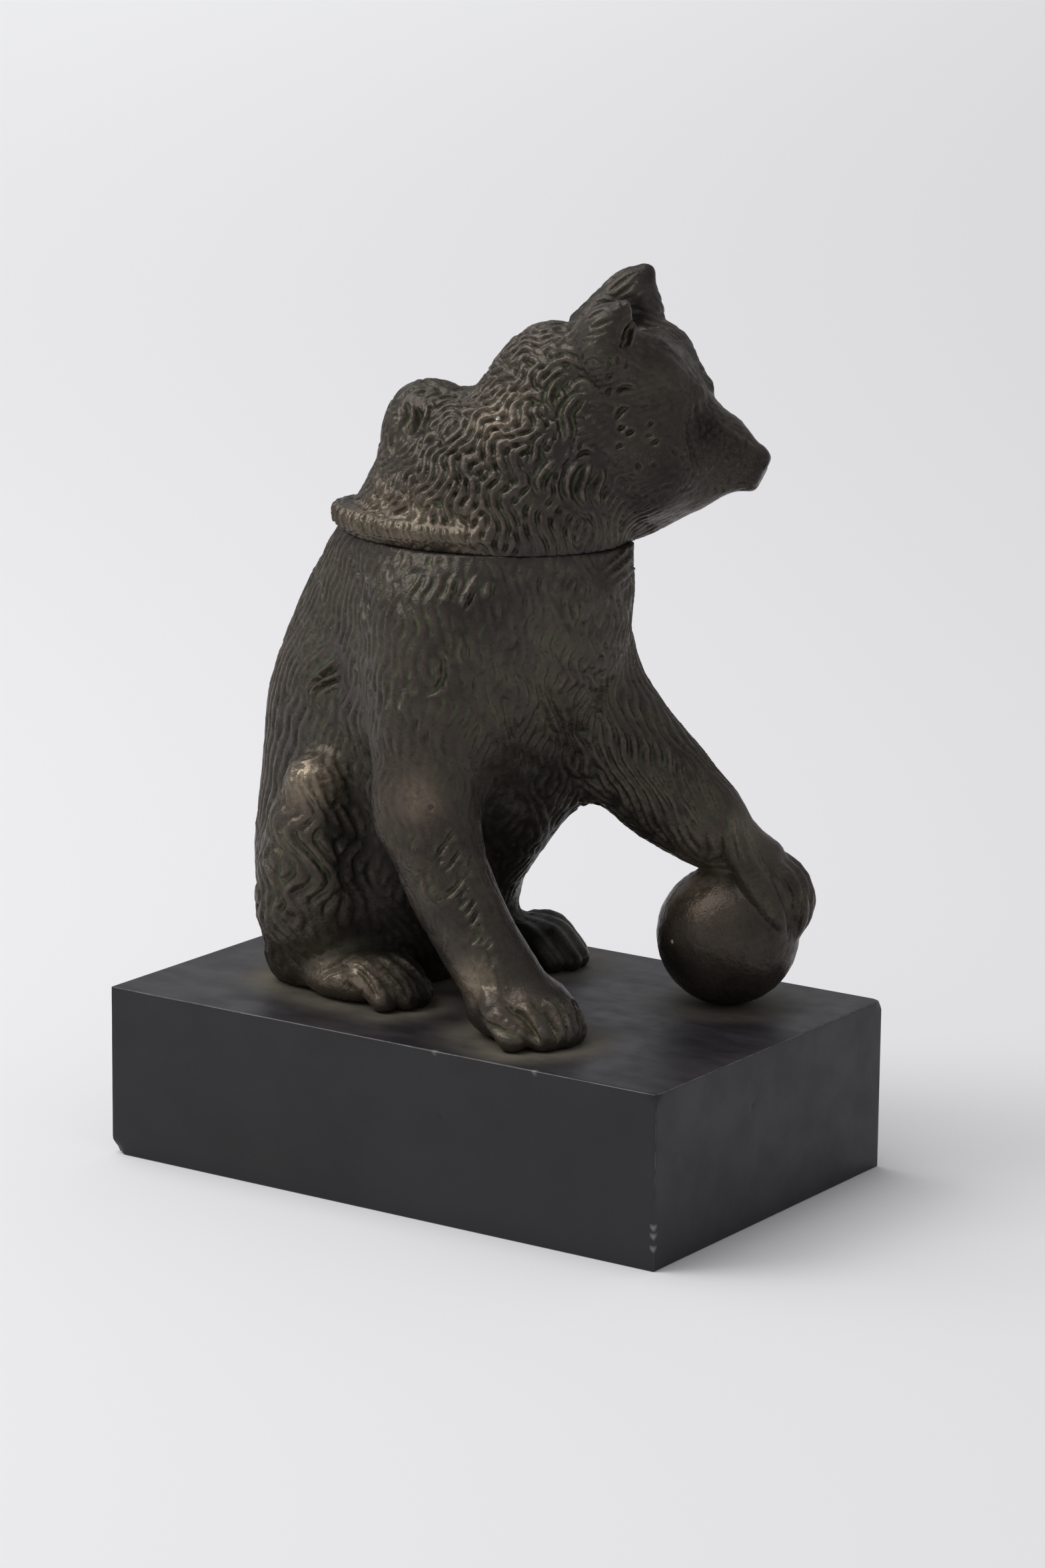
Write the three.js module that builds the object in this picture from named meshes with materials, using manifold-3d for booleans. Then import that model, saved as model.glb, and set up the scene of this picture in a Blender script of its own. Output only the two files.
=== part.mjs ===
// Bear inkwell: a seated bear resting a forepaw on a ball, on a dark plinth.
// The bear is hollow. Its head and mane are the lid, which lifts straight off at the neck.
// Millimetres, +Z up, +X towards the ball, origin in the middle of the plinth's underside.
import * as THREE from 'three';
import { RoundedBoxGeometry } from 'three/addons/geometries/RoundedBoxGeometry.js';
import Module from 'manifold-3d';

// Driving dimensions.
const PLINTH = { length: 180, width: 115, height: 48, edge: 1.2 };
const FEET_Z = PLINTH.height + 0.3; // the bear's cut-flat feet, a hair above the plinth
const SEAM_Z = 176; // height of the parting line between body and lid
const SEAM_GAP = 0.3; // clearance between the two rims
const WELL = { wall: 6.5, floor: 92 }; // wall thickness and floor height of the ink well
const LID_HOLLOW = { wall: 7, ceiling: 203 };
const HEADING = 22; // degrees the face is turned from +X towards +Y
const NOSE = [61, 35]; // plan position of the nose
const BALL = { centre: [56.2, 30.5, 67.3], radius: 19.6 };
const COAT = { body: 2.2, mane: 2.6, leg: 2.0 }; // relief of the fur locks
const NET_STEP = 1.7; // grid spacing of the sculpted surface
const FACES = { body: 6300, lid: 3000 }; // triangles kept in each sculpted piece

const wasm = await Module();
wasm.setup();

// Small maths.
const clamp = (v, lo, hi) => Math.max(lo, Math.min(hi, v));
const fract = (v) => v - Math.floor(v);
const ramp = (a, b, v) => {
  const t = clamp((v - a) / (b - a), 0, 1);
  return t * t * (3 - 2 * t);
};
const blend = (a, b, k) => {
  const h = Math.max(k - Math.abs(a - b), 0);
  return Math.min(a, b) - (h * h) / (4 * k);
};
const carve = (a, b, k) => -blend(-a, b, k); // a with b taken out, edge softened over k
const scatter = (n) => fract(Math.sin(n * 12.9898 + 4.137) * 43758.5453);
const rad = (deg) => (deg * Math.PI) / 180;

// Turned axes for a mass: yaw about +Z, then roll about the mass's own length.
const turned = (yaw, roll = 0) => {
  const m = new THREE.Matrix4().makeRotationZ(rad(yaw));
  m.multiply(new THREE.Matrix4().makeRotationX(rad(roll)));
  return m.elements;
};

// Each mass knows its bounding ball, so that far ones can be passed over.
const ellipsoid = (c, r, m = turned(0)) => ({
  c,
  reach: Math.max(...r),
  at(x, y, z) {
    const qx = x - c[0];
    const qy = y - c[1];
    const qz = z - c[2];
    const a = (qx * m[0] + qy * m[1] + qz * m[2]) / r[0];
    const b = (qx * m[4] + qy * m[5] + qz * m[6]) / r[1];
    const d = (qx * m[8] + qy * m[9] + qz * m[10]) / r[2];
    const k0 = Math.hypot(a, b, d);
    const k1 = Math.hypot(a / r[0], b / r[1], d / r[2]) + 1e-9;
    return (k0 * (k0 - 1)) / k1;
  },
});

// A limb: a smooth path of [x, y, z, radius] stations.
const limb = (stations, steps = 5) => {
  const path = new THREE.CatmullRomCurve3(
    stations.map((s) => new THREE.Vector3(s[0], s[1], s[2])),
    false,
    'catmullrom',
    0.5
  );
  const spans = stations.length - 1;
  const count = spans * steps;
  const nodes = [];
  for (let i = 0; i <= count; i++) {
    const t = i / count;
    const p = path.getPoint(t);
    const f = Math.min(t * spans, spans - 1e-6);
    const j = Math.floor(f);
    const w = ramp(0, 1, f - j) * 0.5 + (f - j) * 0.5;
    nodes.push([p.x, p.y, p.z, stations[j][3] * (1 - w) + stations[j + 1][3] * w]);
  }
  const c = [0, 1, 2].map((k) => nodes.reduce((s, n) => s + n[k], 0) / nodes.length);
  const reach = Math.max(
    ...nodes.map((n) => Math.hypot(n[0] - c[0], n[1] - c[1], n[2] - c[2]) + n[3])
  );
  return {
    c,
    reach,
    at(x, y, z) {
      let best = Infinity;
      let radius = 0;
      for (let i = 0; i < count; i++) {
        const a = nodes[i];
        const b = nodes[i + 1];
        const bx = b[0] - a[0];
        const by = b[1] - a[1];
        const bz = b[2] - a[2];
        const qx = x - a[0];
        const qy = y - a[1];
        const qz = z - a[2];
        const h = clamp((qx * bx + qy * by + qz * bz) / (bx * bx + by * by + bz * bz), 0, 1);
        const ex = qx - h * bx;
        const ey = qy - h * by;
        const ez = qz - h * bz;
        const d = ex * ex + ey * ey + ez * ez;
        if (d < best) {
          best = d;
          radius = a[3] + (b[3] - a[3]) * h;
        }
      }
      return Math.sqrt(best) - radius;
    },
  };
};

// Masses joined one after another, each with its own blending width k (negative k carves).
const sculpt = (list) => (x, y, z) => {
  let d = 1e3;
  for (const [mass, k] of list) {
    const far = Math.hypot(x - mass.c[0], y - mass.c[1], z - mass.c[2]) - mass.reach;
    if (k > 0) {
      if (far < d + k) d = blend(d, mass.at(x, y, z), k);
    } else if (far < -d - k) {
      d = carve(d, mass.at(x, y, z), -k);
    }
  }
  return d;
};

// A point in the head's own frame: s forward from the nose, l to the bear's left, z up.
const cosH = Math.cos(rad(HEADING));
const sinH = Math.sin(rad(HEADING));
const H = (s, l, z, r) => [
  NOSE[0] + cosH * s - sinH * l,
  NOSE[1] + sinH * s + cosH * l,
  z,
  ...(r === undefined ? [] : [r]),
];

// Trunk: haunches, belly, chest and the neck stump up to the seam.
const trunk = [
  [ellipsoid([-42, 5, 78], [37, 33, 38]), 18],
  [ellipsoid([-27.5, 3, 118], [48.2, 31, 47]), 18],
  [ellipsoid([-12.5, 4, 152], [47.6, 30, 38]), 16],
  [ellipsoid([-7, 3, 168], [43, 31.5, 30]), 8],
  [ellipsoid([-6, -17, 146], [27, 17, 40]), 8],
  [ellipsoid([4, 20, 142], [22, 13, 26]), 8],
];

// The tuft that sweeps across the chest from under the lid's edge.
const tuft = [
  [limb([[25, 17, 184, 5], [29, 12, 176, 5.4], [32, 5, 169, 4.8], [32, -4, 164, 3.4], [29.5, -12, 159, 1.8]]), 3],
];

// A hind leg, shifted by (dx, dy); side -1 mirrors it across.
const hindLeg = (dx, dy, side) => {
  const P = (x, y, z, r) => [x + dx, dy + side * y, z, r];
  const masses = [
    [limb([P(-39.5, -30, 107, 9), P(-41, -28, 97, 13), P(-43, -25.5, 83, 15.5), P(-46, -23, 70, 15.5),
      P(-49, -21, 59, 11.5)]), 5],
    [ellipsoid(P(-44, -17, 75).slice(0, 3), [19, 14, 27]), 8],
    [limb([P(-54, -19, 53.5, 7.2), P(-42, -22, 55.4, 7.6), P(-29, -23.5, 54.8, 7.2)]), 5],
    [ellipsoid(P(-30, -23.5, 53).slice(0, 3), [16, 12, 7]), 3],
  ];
  const toes = [
    [-8.6, -4, 4.0],
    [-3.4, 0, 3.9],
    [1.6, 1, 3.7],
    [6.4, -1.5, 3.5],
  ];
  for (const [o, l, r] of toes) {
    masses.push([
      limb([P(-26, -24 + o * 0.8, 58, r * 0.9), P(-17 + l, -24.5 + o, 57, r),
        P(-10 + l, -25 + o, 50.8, r * 0.88)], 3),
      1.4,
    ]);
  }
  return masses;
};

const nearForeleg = () => {
  const masses = [
    [limb([[-3.5, -19, 154, 20.5], [-3, -26, 132, 17.6], [-1.5, -31, 112, 14.3], [5.2, -33.5, 92, 12.1],
      [15.6, -33, 74, 11], [26, -32, 60, 11]], 6), 8],
    [ellipsoid([29.5, -31.5, 54.5], [14.5, 13, 8]), 4],
    [ellipsoid([-5.5, -40, 107], [5, 5, 9]), 7],
  ];
  const toes = [
    [-10.6, -7, 4.0],
    [-5, -1, 4.4],
    [0.4, 1.2, 4.4],
    [5.4, 1, 4.1],
    [9.6, -2, 3.8],
  ];
  for (const [o, l, r] of toes) {
    masses.push([
      limb([[27, -31.5 + o * 0.65, 60, r * 0.9], [36.5 + l, -33 + o, 58, r],
        [43.5 + l, -34.2 + o * 1.05, 51, r * 0.95]], 3),
      1.4,
    ]);
  }
  return masses;
};

// The far foreleg reaches forward and its fingers hang down over the ball.
const farForeleg = () => {
  const masses = [
    [limb([[6, 20, 145, 16], [19.5, 22, 125, 16], [35.5, 26, 108.2, 14.8], [47.6, 29.6, 98.4, 12.5],
      [56.5, 33, 91, 9], [62.6, 35.6, 87.4, 7.7]], 6), 8],
    [ellipsoid([11, 15, 118], [14, 12, 16]), 10],
    [ellipsoid(BALL.centre, [BALL.radius, BALL.radius, BALL.radius]), 0.8],
  ];
  const fingers = [
    [9.5, -1, 3.6],
    [4.2, 1, 3.8],
    [-1.4, 1.2, 3.6],
    [-7, 0, 3.4],
  ];
  for (const [o, l, r] of fingers) {
    const dx = 0.564 * o;
    const dy = -0.826 * o;
    masses.push([
      limb([[62 + dx * 0.8, 36 + dy * 0.8, 88.8, r + 0.8], [70.2 + dx, 39.6 + dy, 84.2, r],
        [73 + dx, 41.6 + dy, 77.5, r * 0.95], [73.6 + dx * 0.92, 42 + dy * 0.92, 71 - l, r * 0.72]], 3),
      1.6,
    ]);
  }
  return masses;
};

// Neck stump, mane and hump.
const mane = [
  [ellipsoid([-8, 3, 168], [41.5, 32, 33]), 10],
  [ellipsoid([-2, 5, 188], [36, 29, 27]), 10],
  [ellipsoid([14, 10, 203], [24, 23, 24]), 10],
  [ellipsoid([8.5, 14, 213.5], [18, 17, 20.5]), 8],
  [ellipsoid([-23, -1, 203.6], [12, 13, 13.6]), 7],
];

// The head is built on its own middle line, so that both sides answer each other.
const head = () => {
  const yaw = turned(HEADING);
  const masses = [
    [ellipsoid(H(-32, 0, 211), [16.3, 18.5, 21], yaw), 9],
    [limb([H(-22, 0, 204.5, 14), H(-11, 0, 201.5, 9.7), H(-2.4, 0, 199, 6.1)]), 6],
    [limb([H(-25, 0, 196.5, 12.5), H(-12, 0, 196.2, 7.9), H(-3.2, 0, 195, 4.6)]), 4],
    [limb([H(-20, 0, 191.5, 7), H(-33, 0, 185.5, 8.6)]), 6],
    [ellipsoid(H(-0.8, 0, 197.6), [3.6, 4.8, 4.3], yaw), 1.5],
  ];
  for (const side of [-1, 1]) {
    masses.push(
      [ellipsoid(H(-29, side * 11, 200), [13, 11, 15], yaw), 8],
      [limb([H(-31, side * 8.5, 227.4, 3.2), H(-17.5, side * 7, 216.8, 2.2)]), 4],
      [ellipsoid(H(-14.6, side * 10.8, 213.6), [4.4, 3.2, 3], yaw), -2],
      [ellipsoid(H(-16.8, side * 8.3, 214.2), [2.3, 2, 1.5], yaw), 0.6],
      [ellipsoid(H(2.3, side * 2.9, 198.4), [1.5, 1.3, 1.5], yaw), -0.6]
    );
  }
  for (const [side, top] of [[-1, 240], [1, 245.6]]) {
    const cup = turned(HEADING + side * 8, -side * 14);
    masses.push(
      [ellipsoid(H(-38.6, side * 16, top - 12), [8.4, 9.5, 13.4], cup), 4],
      [limb([H(-50, side * 13, top - 15, 6), H(-42, side * 15.5, top - 5, 5), H(-34.8, side * 17, top + 0.6, 3.6)]), 3],
      [ellipsoid(H(-29.6, side * 17.4, top - 10), [5.4, 5.6, 9], cup), -1.5]
    );
  }
  return masses;
};

// The rolled lock of fur that rims the lid.
const rim = () => {
  const stations = [];
  for (let i = 0; i <= 16; i++) {
    const a = rad(165 + i * 8.4);
    const swell = Math.sin(rad(12 + i * 9.75)) ** 0.6;
    stations.push([-8 + 40.2 * Math.cos(a), 2.8 + 31 * Math.sin(a), 180.4, 3.4 * swell]);
  }
  return [[limb(stations, 2), 3]];
};

// Fur: rows of overlapping S-shaped locks. u counts columns, v runs along the coat in millimetres.
// Each lock swells from its root to its tip, where it drops off over the next one.
const locks = (u, v, length, sway, seed) => {
  const wave = u + sway * Math.sin((v / length) * 2.2 + Math.floor(u) * 0.7 + seed);
  const column = Math.floor(wave);
  const along = fract(v / length + scatter(column + seed * 17) * 0.9 + column * 0.5);
  const across = (fract(wave) - 0.5) / (1 - 0.35 * ramp(0.55, 1, along));
  const crown = Math.max(0, 1 - 4 * across * across);
  return crown * (0.3 + 0.7 * ramp(0, 0.7, along)) * (1 - ramp(0.86, 1, along));
};
const turns = (x, y, columns) => (Math.atan2(y, x) / (2 * Math.PI) + 0.5) * columns;

const bodyCoat = (x, y, z) => {
  const chest = ramp(-30, 6, x) * 0.6;
  const trunkPart = locks(turns(x + 22, y - 4, 27), -z, 30, 0.6, 1) * (1 - chest) * COAT.body;
  const legFur = (lx, ly) => {
    const near = Math.hypot(x - lx, y - ly);
    const weight = (1 - ramp(17, 24, near)) * (1 - ramp(112, 122, z));
    return [weight, locks(turns(x - lx, y - ly, 12), -z, 22, 0.6, 3) * COAT.leg];
  };
  let h = trunkPart;
  for (const [lx, ly] of [[-45, -25], [-30, 36]]) {
    const [w, lock] = legFur(lx, ly);
    h += (lock - h) * w;
  }
  const plain = Math.max(1 - ramp(56, 64, z), ramp(-24, -12, x) * (1 - ramp(118, 150, z)));
  return h * (1 - plain);
};

const maneCoat = (x, y, z) => {
  const rise = (z - SEAM_Z) / 30;
  const u = turns(x + 10 - rise * 10, y - 3 - rise * 5, 26);
  const s = (x - NOSE[0]) * cosH + (y - NOSE[1]) * sinH;
  const face = ramp(-44, -30, s) * ramp(184, 192, z);
  const band = ramp(182, 187, z);
  return locks(u, -z * 0.8 - s * 0.35, 15, 0.6, 5) * COAT.mane * (1 - face) * band;
};

const bodyShape = sculpt([
  ...trunk,
  ...tuft,
  ...hindLeg(0, 0, 1),
  ...hindLeg(12.2, 9, -1),
  ...nearForeleg(),
  ...farForeleg(),
]);
const trunkShape = sculpt(trunk);
const lidShape = sculpt([...mane, ...head(), ...rim()]);
const maneShape = sculpt(mane);

const bodyField = (x, y, z) => {
  const outside = bodyShape(x, y, z);
  if (outside > 6) return outside;
  const well = blend(-trunkShape(x, y, z) - WELL.wall, z - WELL.floor, 6) * -1;
  const skin = outside > -5 ? outside - bodyCoat(x, y, z) : outside;
  return Math.max(skin, -well, z - SEAM_Z - 5, FEET_Z - 4 - z);
};
const lidField = (x, y, z) => {
  const outside = lidShape(x, y, z);
  if (outside > 6) return outside;
  const hollow = blend(-maneShape(x, y, z) - LID_HOLLOW.wall, LID_HOLLOW.ceiling - z, 6) * -1;
  const skin = outside > -5 ? outside - maneCoat(x, y, z) + 0.4 * COAT.mane * ramp(182, 187, z) : outside;
  return Math.max(skin, -hollow, SEAM_Z - 5 - z);
};

// Corners of a cell joined along its edges; a sign pattern is sound when both signs hang together.
const CORNERS = [...Array(8).keys()].map((i) => [i & 1, (i >> 1) & 1, (i >> 2) & 1]);
const pieces = (mask) => {
  const found = [];
  const seen = new Set();
  for (let i = 0; i < 8; i++) {
    if (!((mask >> i) & 1) || seen.has(i)) continue;
    const group = [];
    const stack = [i];
    seen.add(i);
    while (stack.length) {
      const j = stack.pop();
      group.push(j);
      for (const bit of [1, 2, 4]) {
        const n = j ^ bit;
        if ((mask >> n) & 1 && !seen.has(n)) {
          seen.add(n);
          stack.push(n);
        }
      }
    }
    found.push(group);
  }
  return found.sort((a, b) => a.length - b.length);
};
const PATTERNS = [...Array(256).keys()].map((mask) => ({
  inside: pieces(mask),
  outside: pieces(255 ^ mask),
}));

// Surface of a field (negative inside) as one vertex per crossed grid cell, joined by quads.
const surfaceNet = (field, lo, hi, step) => {
  const n = [0, 1, 2].map((k) => Math.ceil((hi[k] - lo[k]) / step) + 1);
  const value = new Float32Array(n[0] * n[1] * n[2]);
  const id = (i, j, k) => i + n[0] * (j + n[1] * k);
  const B = 4;
  const safe = B * step * 0.87 + 5;
  for (let k0 = 0; k0 < n[2]; k0 += B) {
    for (let j0 = 0; j0 < n[1]; j0 += B) {
      for (let i0 = 0; i0 < n[0]; i0 += B) {
        const mid = [i0, j0, k0].map((v, a) => lo[a] + (v + (B - 1) / 2) * step);
        const rough = field(...mid);
        const skip = Math.abs(rough) > safe;
        for (let k = k0; k < Math.min(k0 + B, n[2]); k++) {
          for (let j = j0; j < Math.min(j0 + B, n[1]); j++) {
            for (let i = i0; i < Math.min(i0 + B, n[0]); i++) {
              const v = skip ? rough : field(lo[0] + i * step, lo[1] + j * step, lo[2] + k * step);
              value[id(i, j, k)] = Math.abs(v) < 1e-4 ? 1e-4 : v;
            }
          }
        }
      }
    }
  }
  const at = (i, j, k, c) => id(i + CORNERS[c][0], j + CORNERS[c][1], k + CORNERS[c][2]);
  const maskOf = (i, j, k) => {
    let mask = 0;
    for (let c = 0; c < 8; c++) if (value[at(i, j, k, c)] < 0) mask |= 1 << c;
    return mask;
  };
  for (let pass = 0, changed = true; changed && pass < 20; pass++) {
    changed = false;
    for (let k = 0; k < n[2] - 1; k++) {
      for (let j = 0; j < n[1] - 1; j++) {
        for (let i = 0; i < n[0] - 1; i++) {
          const pattern = PATTERNS[maskOf(i, j, k)];
          if (pattern.inside.length > 1) {
            for (const c of pattern.inside[0]) value[at(i, j, k, c)] = 0.02;
            changed = true;
          } else if (pattern.outside.length > 1) {
            for (const c of pattern.outside[0]) value[at(i, j, k, c)] = -0.02;
            changed = true;
          }
        }
      }
    }
  }
  const cell = new Map();
  const points = [];
  for (let k = 0; k < n[2] - 1; k++) {
    for (let j = 0; j < n[1] - 1; j++) {
      for (let i = 0; i < n[0] - 1; i++) {
        const mask = maskOf(i, j, k);
        if (mask === 0 || mask === 255) continue;
        const sum = [0, 0, 0];
        let hits = 0;
        for (let c = 0; c < 8; c++) {
          for (const bit of [1, 2, 4]) {
            const e = c | bit;
            if (e === c || ((mask >> c) & 1) === ((mask >> e) & 1)) continue;
            const a = value[at(i, j, k, c)];
            const t = a / (a - value[at(i, j, k, e)]);
            for (let m = 0; m < 3; m++) sum[m] += CORNERS[c][m] * (1 - t) + CORNERS[e][m] * t;
            hits++;
          }
        }
        cell.set(id(i, j, k), points.length);
        points.push([i, j, k].map((v, m) => lo[m] + (v + sum[m] / hits) * step));
      }
    }
  }
  const faces = [];
  const gap2 = (a, b) => points[a].reduce((s, v, m) => s + (v - points[b][m]) ** 2, 0);
  const axes = [
    [1, 0, 0],
    [0, 1, 0],
    [0, 0, 1],
  ];
  for (let k = 1; k < n[2] - 1; k++) {
    for (let j = 1; j < n[1] - 1; j++) {
      for (let i = 1; i < n[0] - 1; i++) {
        const here = value[id(i, j, k)] < 0;
        for (let m = 0; m < 3; m++) {
          const a = axes[m];
          if (here === value[id(i + a[0], j + a[1], k + a[2])] < 0) continue;
          const u = axes[(m + 1) % 3];
          const v = axes[(m + 2) % 3];
          const q = [
            [0, 0],
            [1, 0],
            [1, 1],
            [0, 1],
          ].map(([p, r]) =>
            cell.get(id(i - p * u[0] - r * v[0], j - p * u[1] - r * v[1], k - p * u[2] - r * v[2]))
          );
          if (!here) q.reverse();
          if (gap2(q[0], q[2]) < gap2(q[1], q[3])) {
            faces.push([q[0], q[1], q[2]], [q[0], q[2], q[3]]);
          } else {
            faces.push([q[1], q[2], q[3]], [q[1], q[3], q[0]]);
          }
        }
      }
    }
  }
  return { points, faces };
};

// Thin a closed triangle net down to a target by removing the edges that change its form least.
const thin = ({ points, faces }, target) => {
  const P = points.map((p) => [...p]);
  const Q = P.map(() => new Float64Array(10));
  const ring = P.map(() => new Set());
  const live = faces.map(() => true);
  const cross = (a, b, c) => {
    const ux = b[0] - a[0];
    const uy = b[1] - a[1];
    const uz = b[2] - a[2];
    const vx = c[0] - a[0];
    const vy = c[1] - a[1];
    const vz = c[2] - a[2];
    return [uy * vz - uz * vy, uz * vx - ux * vz, ux * vy - uy * vx];
  };
  faces.forEach((f, i) => {
    const nrm = cross(P[f[0]], P[f[1]], P[f[2]]);
    const len = Math.hypot(...nrm) || 1e-12;
    const [a, b, c] = nrm.map((v) => v / len);
    const d = -(a * P[f[0]][0] + b * P[f[0]][1] + c * P[f[0]][2]);
    const q = [a * a, a * b, a * c, a * d, b * b, b * c, b * d, c * c, c * d, d * d];
    for (const v of f) {
      ring[v].add(i);
      for (let k = 0; k < 10; k++) Q[v][k] += (q[k] * len) / 2;
    }
  });
  const around = (v) => {
    const s = new Set();
    for (const f of ring[v]) for (const w of faces[f]) if (w !== v) s.add(w);
    return s;
  };
  const cost = (q, p) =>
    q[0] * p[0] * p[0] + 2 * q[1] * p[0] * p[1] + 2 * q[2] * p[0] * p[2] + 2 * q[3] * p[0] +
    q[4] * p[1] * p[1] + 2 * q[5] * p[1] * p[2] + 2 * q[6] * p[1] +
    q[7] * p[2] * p[2] + 2 * q[8] * p[2] + q[9];
  const place = (a, b) => {
    const q = Q[a].map((v, k) => v + Q[b][k]);
    const mid = P[a].map((v, k) => (v + P[b][k]) / 2);
    const det =
      q[0] * (q[4] * q[7] - q[5] * q[5]) - q[1] * (q[1] * q[7] - q[5] * q[2]) +
      q[2] * (q[1] * q[5] - q[4] * q[2]);
    let best = mid;
    let least = cost(q, mid);
    for (const p of [P[a], P[b]]) {
      const e = cost(q, p);
      if (e < least) {
        least = e;
        best = p;
      }
    }
    const size = Math.hypot(...P[a].map((v, k) => v - P[b][k]));
    if (Math.abs(det) > 1e-6) {
      const r = [-q[3], -q[6], -q[8]];
      const x = [
        (r[0] * (q[4] * q[7] - q[5] * q[5]) - q[1] * (r[1] * q[7] - q[5] * r[2]) +
          q[2] * (r[1] * q[5] - q[4] * r[2])) / det,
        (q[0] * (r[1] * q[7] - r[2] * q[5]) - r[0] * (q[1] * q[7] - q[5] * q[2]) +
          q[2] * (q[1] * r[2] - r[1] * q[2])) / det,
        (q[0] * (q[4] * r[2] - r[1] * q[5]) - q[1] * (q[1] * r[2] - r[1] * q[2]) +
          r[0] * (q[1] * q[5] - q[4] * q[2])) / det,
      ];
      if (Math.hypot(...x.map((v, k) => v - mid[k])) < size * 1.5 && cost(q, x) < least) {
        least = cost(q, x);
        best = x;
      }
    }
    return { a, b, at: [...best], cost: Math.max(least, 0) + size * size * 2e-4 };
  };
  const heap = [];
  const swap = (i, j) => {
    const t = heap[i];
    heap[i] = heap[j];
    heap[j] = t;
  };
  const push = (e) => {
    heap.push(e);
    let i = heap.length - 1;
    while (i > 0 && heap[(i - 1) >> 1].cost > heap[i].cost) {
      swap(i, (i - 1) >> 1);
      i = (i - 1) >> 1;
    }
  };
  const pop = () => {
    const top = heap[0];
    const last = heap.pop();
    if (heap.length) {
      heap[0] = last;
      let i = 0;
      for (;;) {
        let m = 2 * i + 1;
        if (m >= heap.length) break;
        if (m + 1 < heap.length && heap[m + 1].cost < heap[m].cost) m++;
        if (heap[m].cost >= heap[i].cost) break;
        swap(i, m);
        i = m;
      }
    }
    return top;
  };
  const stamp = new Int32Array(P.length);
  const offer = (a, b) => push({ ...place(a, b), sa: stamp[a], sb: stamp[b] });
  P.forEach((_, v) => {
    for (const w of around(v)) if (w > v) offer(v, w);
  });
  const turnsOver = (v, other, to) => {
    for (const f of ring[v]) {
      if (faces[f].includes(other)) continue;
      const was = cross(...faces[f].map((w) => P[w]));
      const now = cross(...faces[f].map((w) => (w === v ? to : P[w])));
      const lw = Math.hypot(...was);
      const ln = Math.hypot(...now);
      if (ln < 0.02) return true;
      if (was[0] * now[0] + was[1] * now[1] + was[2] * now[2] < 0.25 * lw * ln) return true;
    }
    return false;
  };
  let count = faces.length;
  while (count > target && heap.length) {
    const e = pop();
    const { a, b } = e;
    if (e.sa !== stamp[a] || e.sb !== stamp[b] || !ring[a].size || !ring[b].size) continue;
    const na = around(a);
    const shared = [...around(b)].filter((v) => na.has(v));
    if (shared.length !== 2 || shared.some((v) => ring[v].size <= 3)) continue;
    if (turnsOver(a, b, e.at) || turnsOver(b, a, e.at)) continue;
    P[a] = e.at;
    for (let k = 0; k < 10; k++) Q[a][k] += Q[b][k];
    for (const f of [...ring[b]]) {
      if (faces[f].includes(a)) {
        live[f] = false;
        count--;
        for (const v of faces[f]) ring[v].delete(f);
      } else {
        faces[f] = faces[f].map((v) => (v === b ? a : v));
        ring[a].add(f);
      }
    }
    ring[b].clear();
    stamp[a]++;
    for (const v of around(a)) offer(a, v);
  }
  const index = new Map();
  const kept = [];
  const tri = [];
  faces.forEach((f, i) => {
    if (!live[i]) return;
    for (const v of f) {
      if (!index.has(v)) {
        index.set(v, kept.length / 3);
        kept.push(...P[v]);
      }
      tri.push(index.get(v));
    }
  });
  return new wasm.Manifold(
    new wasm.Mesh({
      numProp: 3,
      vertProperties: new Float32Array(kept),
      triVerts: new Uint32Array(tri),
    })
  );
};

// The main body of a solid, without stray slivers.
const whole = (solid) => solid.decompose().sort((a, b) => b.volume() - a.volume())[0];

const toGeometry = (solid) => {
  const mesh = solid.getMesh();
  const geometry = new THREE.BufferGeometry();
  const position = new Float32Array(mesh.numVert * 3);
  for (let i = 0; i < mesh.numVert; i++) {
    for (let k = 0; k < 3; k++) position[3 * i + k] = mesh.vertProperties[i * mesh.numProp + k];
  }
  geometry.setAttribute('position', new THREE.BufferAttribute(position, 3));
  geometry.setIndex(new THREE.BufferAttribute(new Uint32Array(mesh.triVerts), 1));
  return geometry;
};

const bear = (name, geometry) => {
  const material = new THREE.MeshStandardMaterial({ color: 0x3a332b, roughness: 0.42, metalness: 0.85 });
  const mesh = new THREE.Mesh(geometry, material);
  mesh.name = name;
  return mesh;
};

// Body: sculpted past the seam and the feet, then cut flat at both.
const bodyNet = surfaceNet(bodyField, [-88, -56, 40], [86, 62, 190], NET_STEP);
const bodySolid = thin(bodyNet, FACES.body)
  .trimByPlane([0, 0, -1], -(SEAM_Z - SEAM_GAP / 2))
  .trimByPlane([0, 0, 1], FEET_Z);

// Lid: cut flat at the seam.
const lidNet = surfaceNet(lidField, [-60, -40, 166], [76, 62, 256], NET_STEP);
const lidSolid = thin(lidNet, FACES.lid).trimByPlane([0, 0, 1], SEAM_Z + SEAM_GAP / 2);

const plinthGeometry = new RoundedBoxGeometry(
  PLINTH.length,
  PLINTH.width,
  PLINTH.height,
  2,
  PLINTH.edge
);
plinthGeometry.translate(0, 0, PLINTH.height / 2);
const plinth = new THREE.Mesh(
  plinthGeometry,
  new THREE.MeshStandardMaterial({ color: 0x2b2a2c, roughness: 0.5, metalness: 0 })
);
plinth.name = 'plinth';

const group = new THREE.Group();
group.name = 'bear_inkwell';
group.add(plinth);
group.add(bear('bear_body', toGeometry(whole(bodySolid))));
group.add(bear('bear_head', toGeometry(whole(lidSolid))));

export default group;
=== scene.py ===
"""Bear inkwell, dressed: a patinated seated bear with a carved coat, its lift-off head, and a dark plinth."""
import math

import bmesh
import bpy
import numpy as np
from mathutils import Matrix, Vector
from mathutils.kdtree import KDTree


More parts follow.
